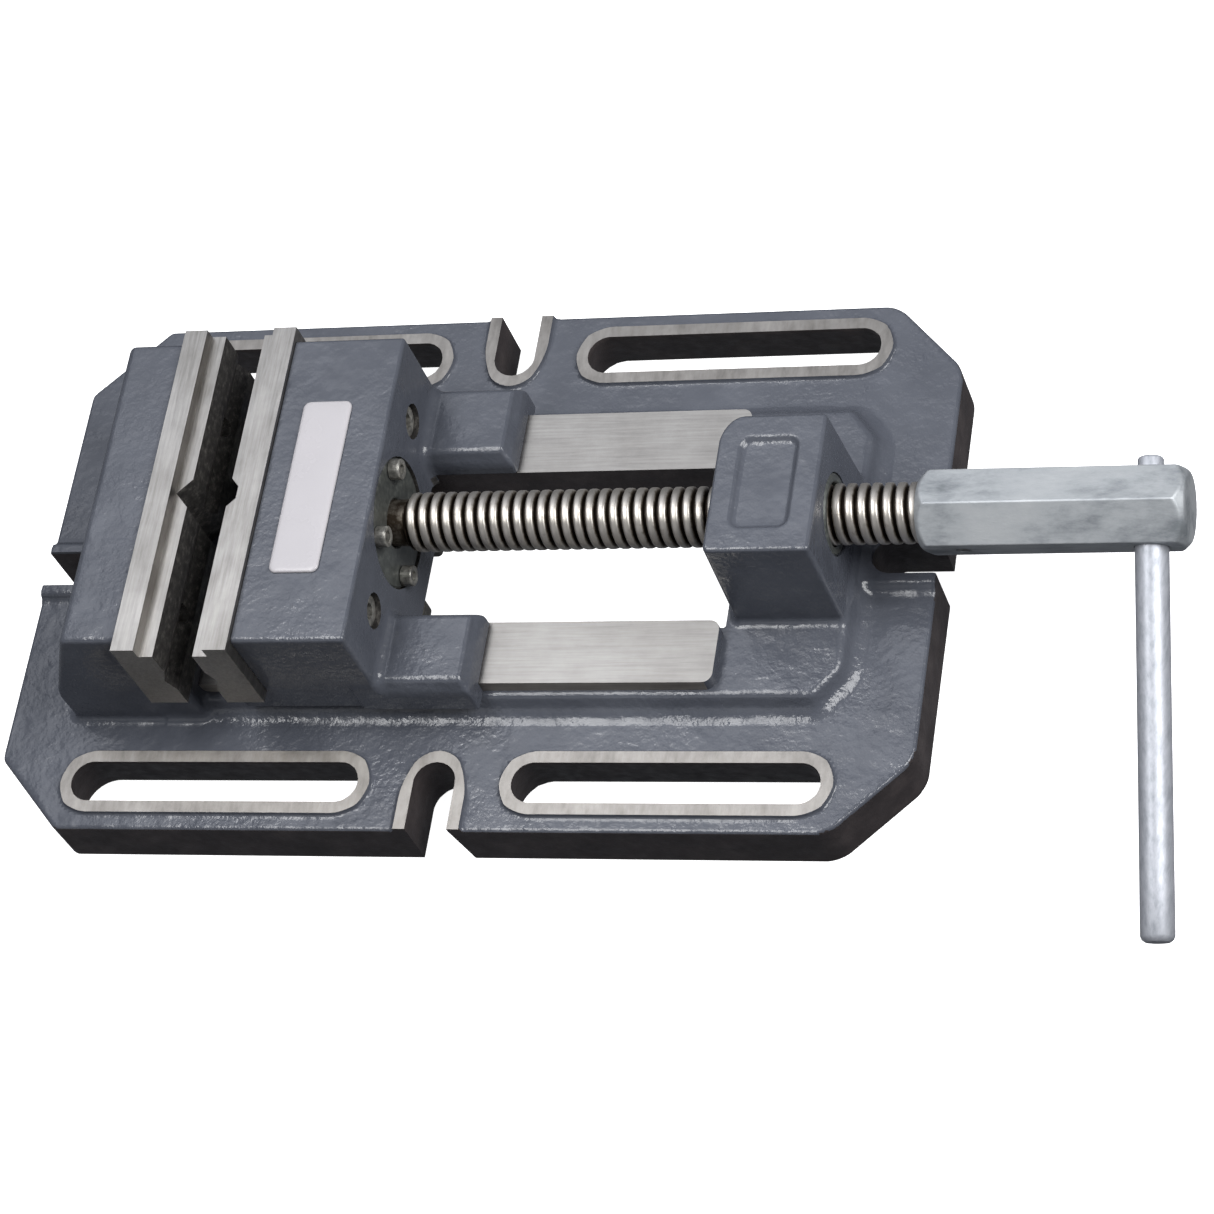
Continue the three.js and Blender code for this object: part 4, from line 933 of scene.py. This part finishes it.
# ---------------------------------------------------------------- crank
ROLL, LEAN = math.radians(18.5), math.radians(2.3)
DOWN = np.array([0, -math.cos(ROLL), -math.sin(ROLL)])
BAR_LINE = DOWN * math.cos(LEAN) + np.array([math.sin(LEAN), 0, 0])
BAR_X, BAR_R, HUB_FLAT, HUB_END_R, GRUB_R = HUB_HIGH[0] - 14.9, 6.5, 15.0, 13.4, 3.1
GRUB_X = sum(v[0] for v in ends("hub_grub_screw")) / 2


def hub_field(x, y, z):
    """Hexagon bar with softly rounded edges, its ends turned back to a cone, a round hole for the
    handle bar and a small one for the grub screw."""
    v, w = y, z - AXIS_Z
    face = math.atan2(DOWN[2], DOWN[1])
    body = None
    for k in range(6):
        side = v * math.cos(face + k * math.pi / 3) + w * math.sin(face + k * math.pi / 3) - HUB_FLAT
        body = side if body is None else round_off(body, side, 0.5)
    radius = np.hypot(v, w)
    inset = np.minimum(x - HUB_LOW[0], HUB_HIGH[0] - x)
    cone = (radius - HUB_END_R) * 0.72 - inset * 0.69
    body = round_off(np.maximum(body, -inset), cone, 0.6)
    rel = np.stack([x - BAR_X, v, w], -1)
    along = rel @ BAR_LINE
    hole = np.linalg.norm(rel - along[..., None] * BAR_LINE, axis=-1) - BAR_R - 0.35
    rel = np.stack([x - GRUB_X, v, w], -1)
    along = rel @ DOWN
    pin = np.linalg.norm(rel - along[..., None] * DOWN, axis=-1) - GRUB_R
    return np.maximum(np.maximum(body, -hole), -np.maximum(pin, 5 - along))


hub_lines = (
    graded(HUB_LOW[0] - 0.63, HUB_HIGH[0] + 0.63, 1.5,
           (HUB_LOW[0] + 1, GRUB_X, BAR_X, HUB_HIGH[0] - 1), 0.5, 4.0),
    np.linspace(-18.1, 18.3, 52), np.linspace(AXIS_Z - 18.2, AXIS_Z + 18.1, 52),
)
casting("crank_hub", hub_field, hub_lines, lambda at, facing: np.zeros(at.shape[1], int), "screw",
        "handle_hub", [HUB_ZINC])

bar_profile = [
    (-19.9, 0.0), (-19.9, 3.9), (-19.5, 4.6), (-18.8, 5.0), (-11.6, 5.0), (-11.0, 5.5), (-11.0, 6.1),
    (-10.6, BAR_R), (40.0, BAR_R), (90.0, BAR_R), (140.0, BAR_R), (161.2, BAR_R), (162.6, 5.9),
    (163.5, 4.7), (163.5, 0.0),
]
bar = turned("crank_bar", bar_profile, (BAR_X, 0, AXIS_Z), BAR_LINE, 64)
finish_piece(bar, "screw", ["handle_bar"], [BAR_ZINC])

grub_socket = hexagon(3.0, 36)
grub_profile = [(9.6, 0.0), (9.6, 2.6), (14.0, 2.9), (14.3, 2.7), (14.3, 1.9), (14.1, grub_socket),
                (12.2, grub_socket), (12.0, 0.0)]
grub = turned("hub_pin", grub_profile, (GRUB_X, 0, AXIS_Z), DOWN, 36)
finish_piece(grub, "screw", ["hub_grub_screw"], [SCREW_STEEL])


# ---------------------------------------------------------------- keepers and name plate
KEEPER_HOLE_R = 3.3


def keeper_field(x, y, z, low, high):
    """Flat bar with rounded edges, drilled for its two screws."""
    mid_x = (low[0] + high[0]) / 2
    bar = round_off(slab(x, low[0], high[0]), slab(y, low[1], high[1]), 2.0)
    bar = round_off(bar, slab(z, low[2], high[2]), 0.6)
    hole = np.hypot(np.abs(x - mid_x) - 13, np.abs(y) - 22) - KEEPER_HOLE_R
    return np.maximum(bar, -hole)


for side in ("near", "far"):
    low, high = ends(f"keeper_plate_{side}")
    lines = tuple(
        graded(a - 0.7, b + 0.8, 1.9, (a + 0.4, b - 0.4), 0.8, 1.6) for a, b in zip(low, high))
    field = lambda x, y, z, low=low, high=high: keeper_field(x, y, z, low, high)
    casting(f"keeper_bar_{side}", field, lines, lambda at, facing: np.zeros(at.shape[1], int),
            "movable_jaw", f"keeper_plate_{side}", [KEEPER_STEEL])


DOME_RINGS = [(0.0, 0.0), (0.0, 0.45), (0.25, 0.72), (0.7, 0.88), (1.6, 0.95), (3.2, 0.98), (6.0, 1.0)]


def label_dome():
    """Blank name plate: rings of a rounded rectangle shrink towards the middle while they rise on a
    shallow dome, so the resin stands highest in the centre. Each ring of DOME_RINGS is (how far in
    it is in millimetres, its share of the height)."""
    low, high = ends("name_plate")
    middle, half = (low + high) / 2, (high - low) / 2
    corner, around = 3.0, 160
    angle = (np.arange(around) + 0.5) * 2 * math.pi / around
    c, s = np.cos(angle), np.sin(angle)
    u = np.sign(c) * (half[0] - corner) + corner * c
    v = np.sign(s) * (half[1] - corner) + corner * s
    rings = []
    for inset, rise in DOME_RINGS:
        rings.append(np.stack([
            middle[0] + u * (1 - inset / half[0]), middle[1] + v * (1 - inset / half[1]),
            np.full(around, low[2] + rise * (high[2] - low[2]))], -1))
    top = rings[-1] * 0 + [middle[0], middle[1], high[2]]
    bottom = rings[0] * 0 + [middle[0], middle[1], low[2]]
    points = np.concatenate([bottom[None], np.stack(rings), top[None]]).reshape(-1, 3)
    obj = close_up(make_mesh("name_plate_blank", points, ring_quads(len(rings) + 2, around)), 50.0)
    return finish_piece(obj, "movable_jaw", ["name_plate"], [LABEL])


label_dome()

# ---------------------------------------------------------------- ground, lights and camera
GROUND_HALF, GROUND_Z = 6000, -0.4
ground_corners = [
    (a * GROUND_HALF, b * GROUND_HALF, GROUND_Z) for a, b in ((-1, -1), (1, -1), (1, 1), (-1, 1))]
ground = make_mesh("ground_sheet", ground_corners, [[0, 1, 2, 3]])
ground.data.materials.append(pale_sweep())
ground.visible_glossy = False
ground.visible_diffuse = False

CENTRE = Vector((MID_X, 0, 30)) * MM


def softbox(name, direction, distance, width, height, power, tint="#FFFFFF"):
    """A rectangular light that faces the vise from a direction."""
    light = bpy.data.lights.new(name, "AREA")
    light.shape = "RECTANGLE"
    light.size, light.size_y, light.energy = width, height, power
    light.color = linear(tint)[:3]
    obj = bpy.data.objects.new(name, light)
    bpy.context.scene.collection.objects.link(obj)
    away = Vector(direction).normalized()
    across = Vector((0, 1, 0)).cross(away).normalized()
    turn = Matrix((across, away.cross(across), away)).transposed()
    obj.matrix_world = Matrix.Translation(CENTRE + away * distance) @ turn.to_4x4()
    return obj


softbox("overhead_softbox", (-0.28, -0.12, 0.94), 1.5, 0.42, 1.1, 12.5)
softbox("key_panel", (0.7, -0.04, 0.68), 1.25, 0.8, 0.7, 15.5)
softbox("upper_rear_panel", (-0.28, 0.3, 0.91), 1.4, 1.0, 0.55, 3.0, "#EFF2FA")
softbox("rear_panel", (-0.35, 0.7, 0.7), 2.2, 1.8, 1.2, 5.0, "#E9EEF8")
softbox("low_front_panel", (-0.3, -0.87, 0.38), 2.2, 1.6, 0.8, 1.8)

world = bpy.data.worlds.new("studio_room")
world.use_nodes = True
world.node_tree.nodes["Background"].inputs[0].default_value = linear("#C9CDD6")
world.node_tree.nodes["Background"].inputs[1].default_value = 0.21
bpy.context.scene.world = world
bpy.context.scene.view_settings.view_transform = "Standard"

AZIMUTH, ELEVATION, TWIST = math.radians(34.412), math.radians(55.355), math.radians(30.067)
CAMERA_PLACE = (0.663744, -0.752937, 1.309560)
camera = bpy.data.cameras.new("camera")
camera.sensor_width = 36.0
camera.lens = 116.18
camera.clip_start, camera.clip_end = 0.05, 50
camera_object = bpy.data.objects.new("camera", camera)
bpy.context.scene.collection.objects.link(camera_object)
look = Vector((
    -math.sin(AZIMUTH) * math.cos(ELEVATION), math.cos(AZIMUTH) * math.cos(ELEVATION),
    -math.sin(ELEVATION)))
level = look.cross(Vector((0, 0, 1))).normalized()
upright = level.cross(look)
across = math.cos(TWIST) * level - math.sin(TWIST) * upright
rise = math.sin(TWIST) * level + math.cos(TWIST) * upright
camera_object.matrix_world = Matrix((
    (across.x, rise.x, -look.x, CAMERA_PLACE[0]), (across.y, rise.y, -look.y, CAMERA_PLACE[1]),
    (across.z, rise.z, -look.z, CAMERA_PLACE[2]), (0, 0, 0, 1)))
bpy.context.scene.camera = camera_object
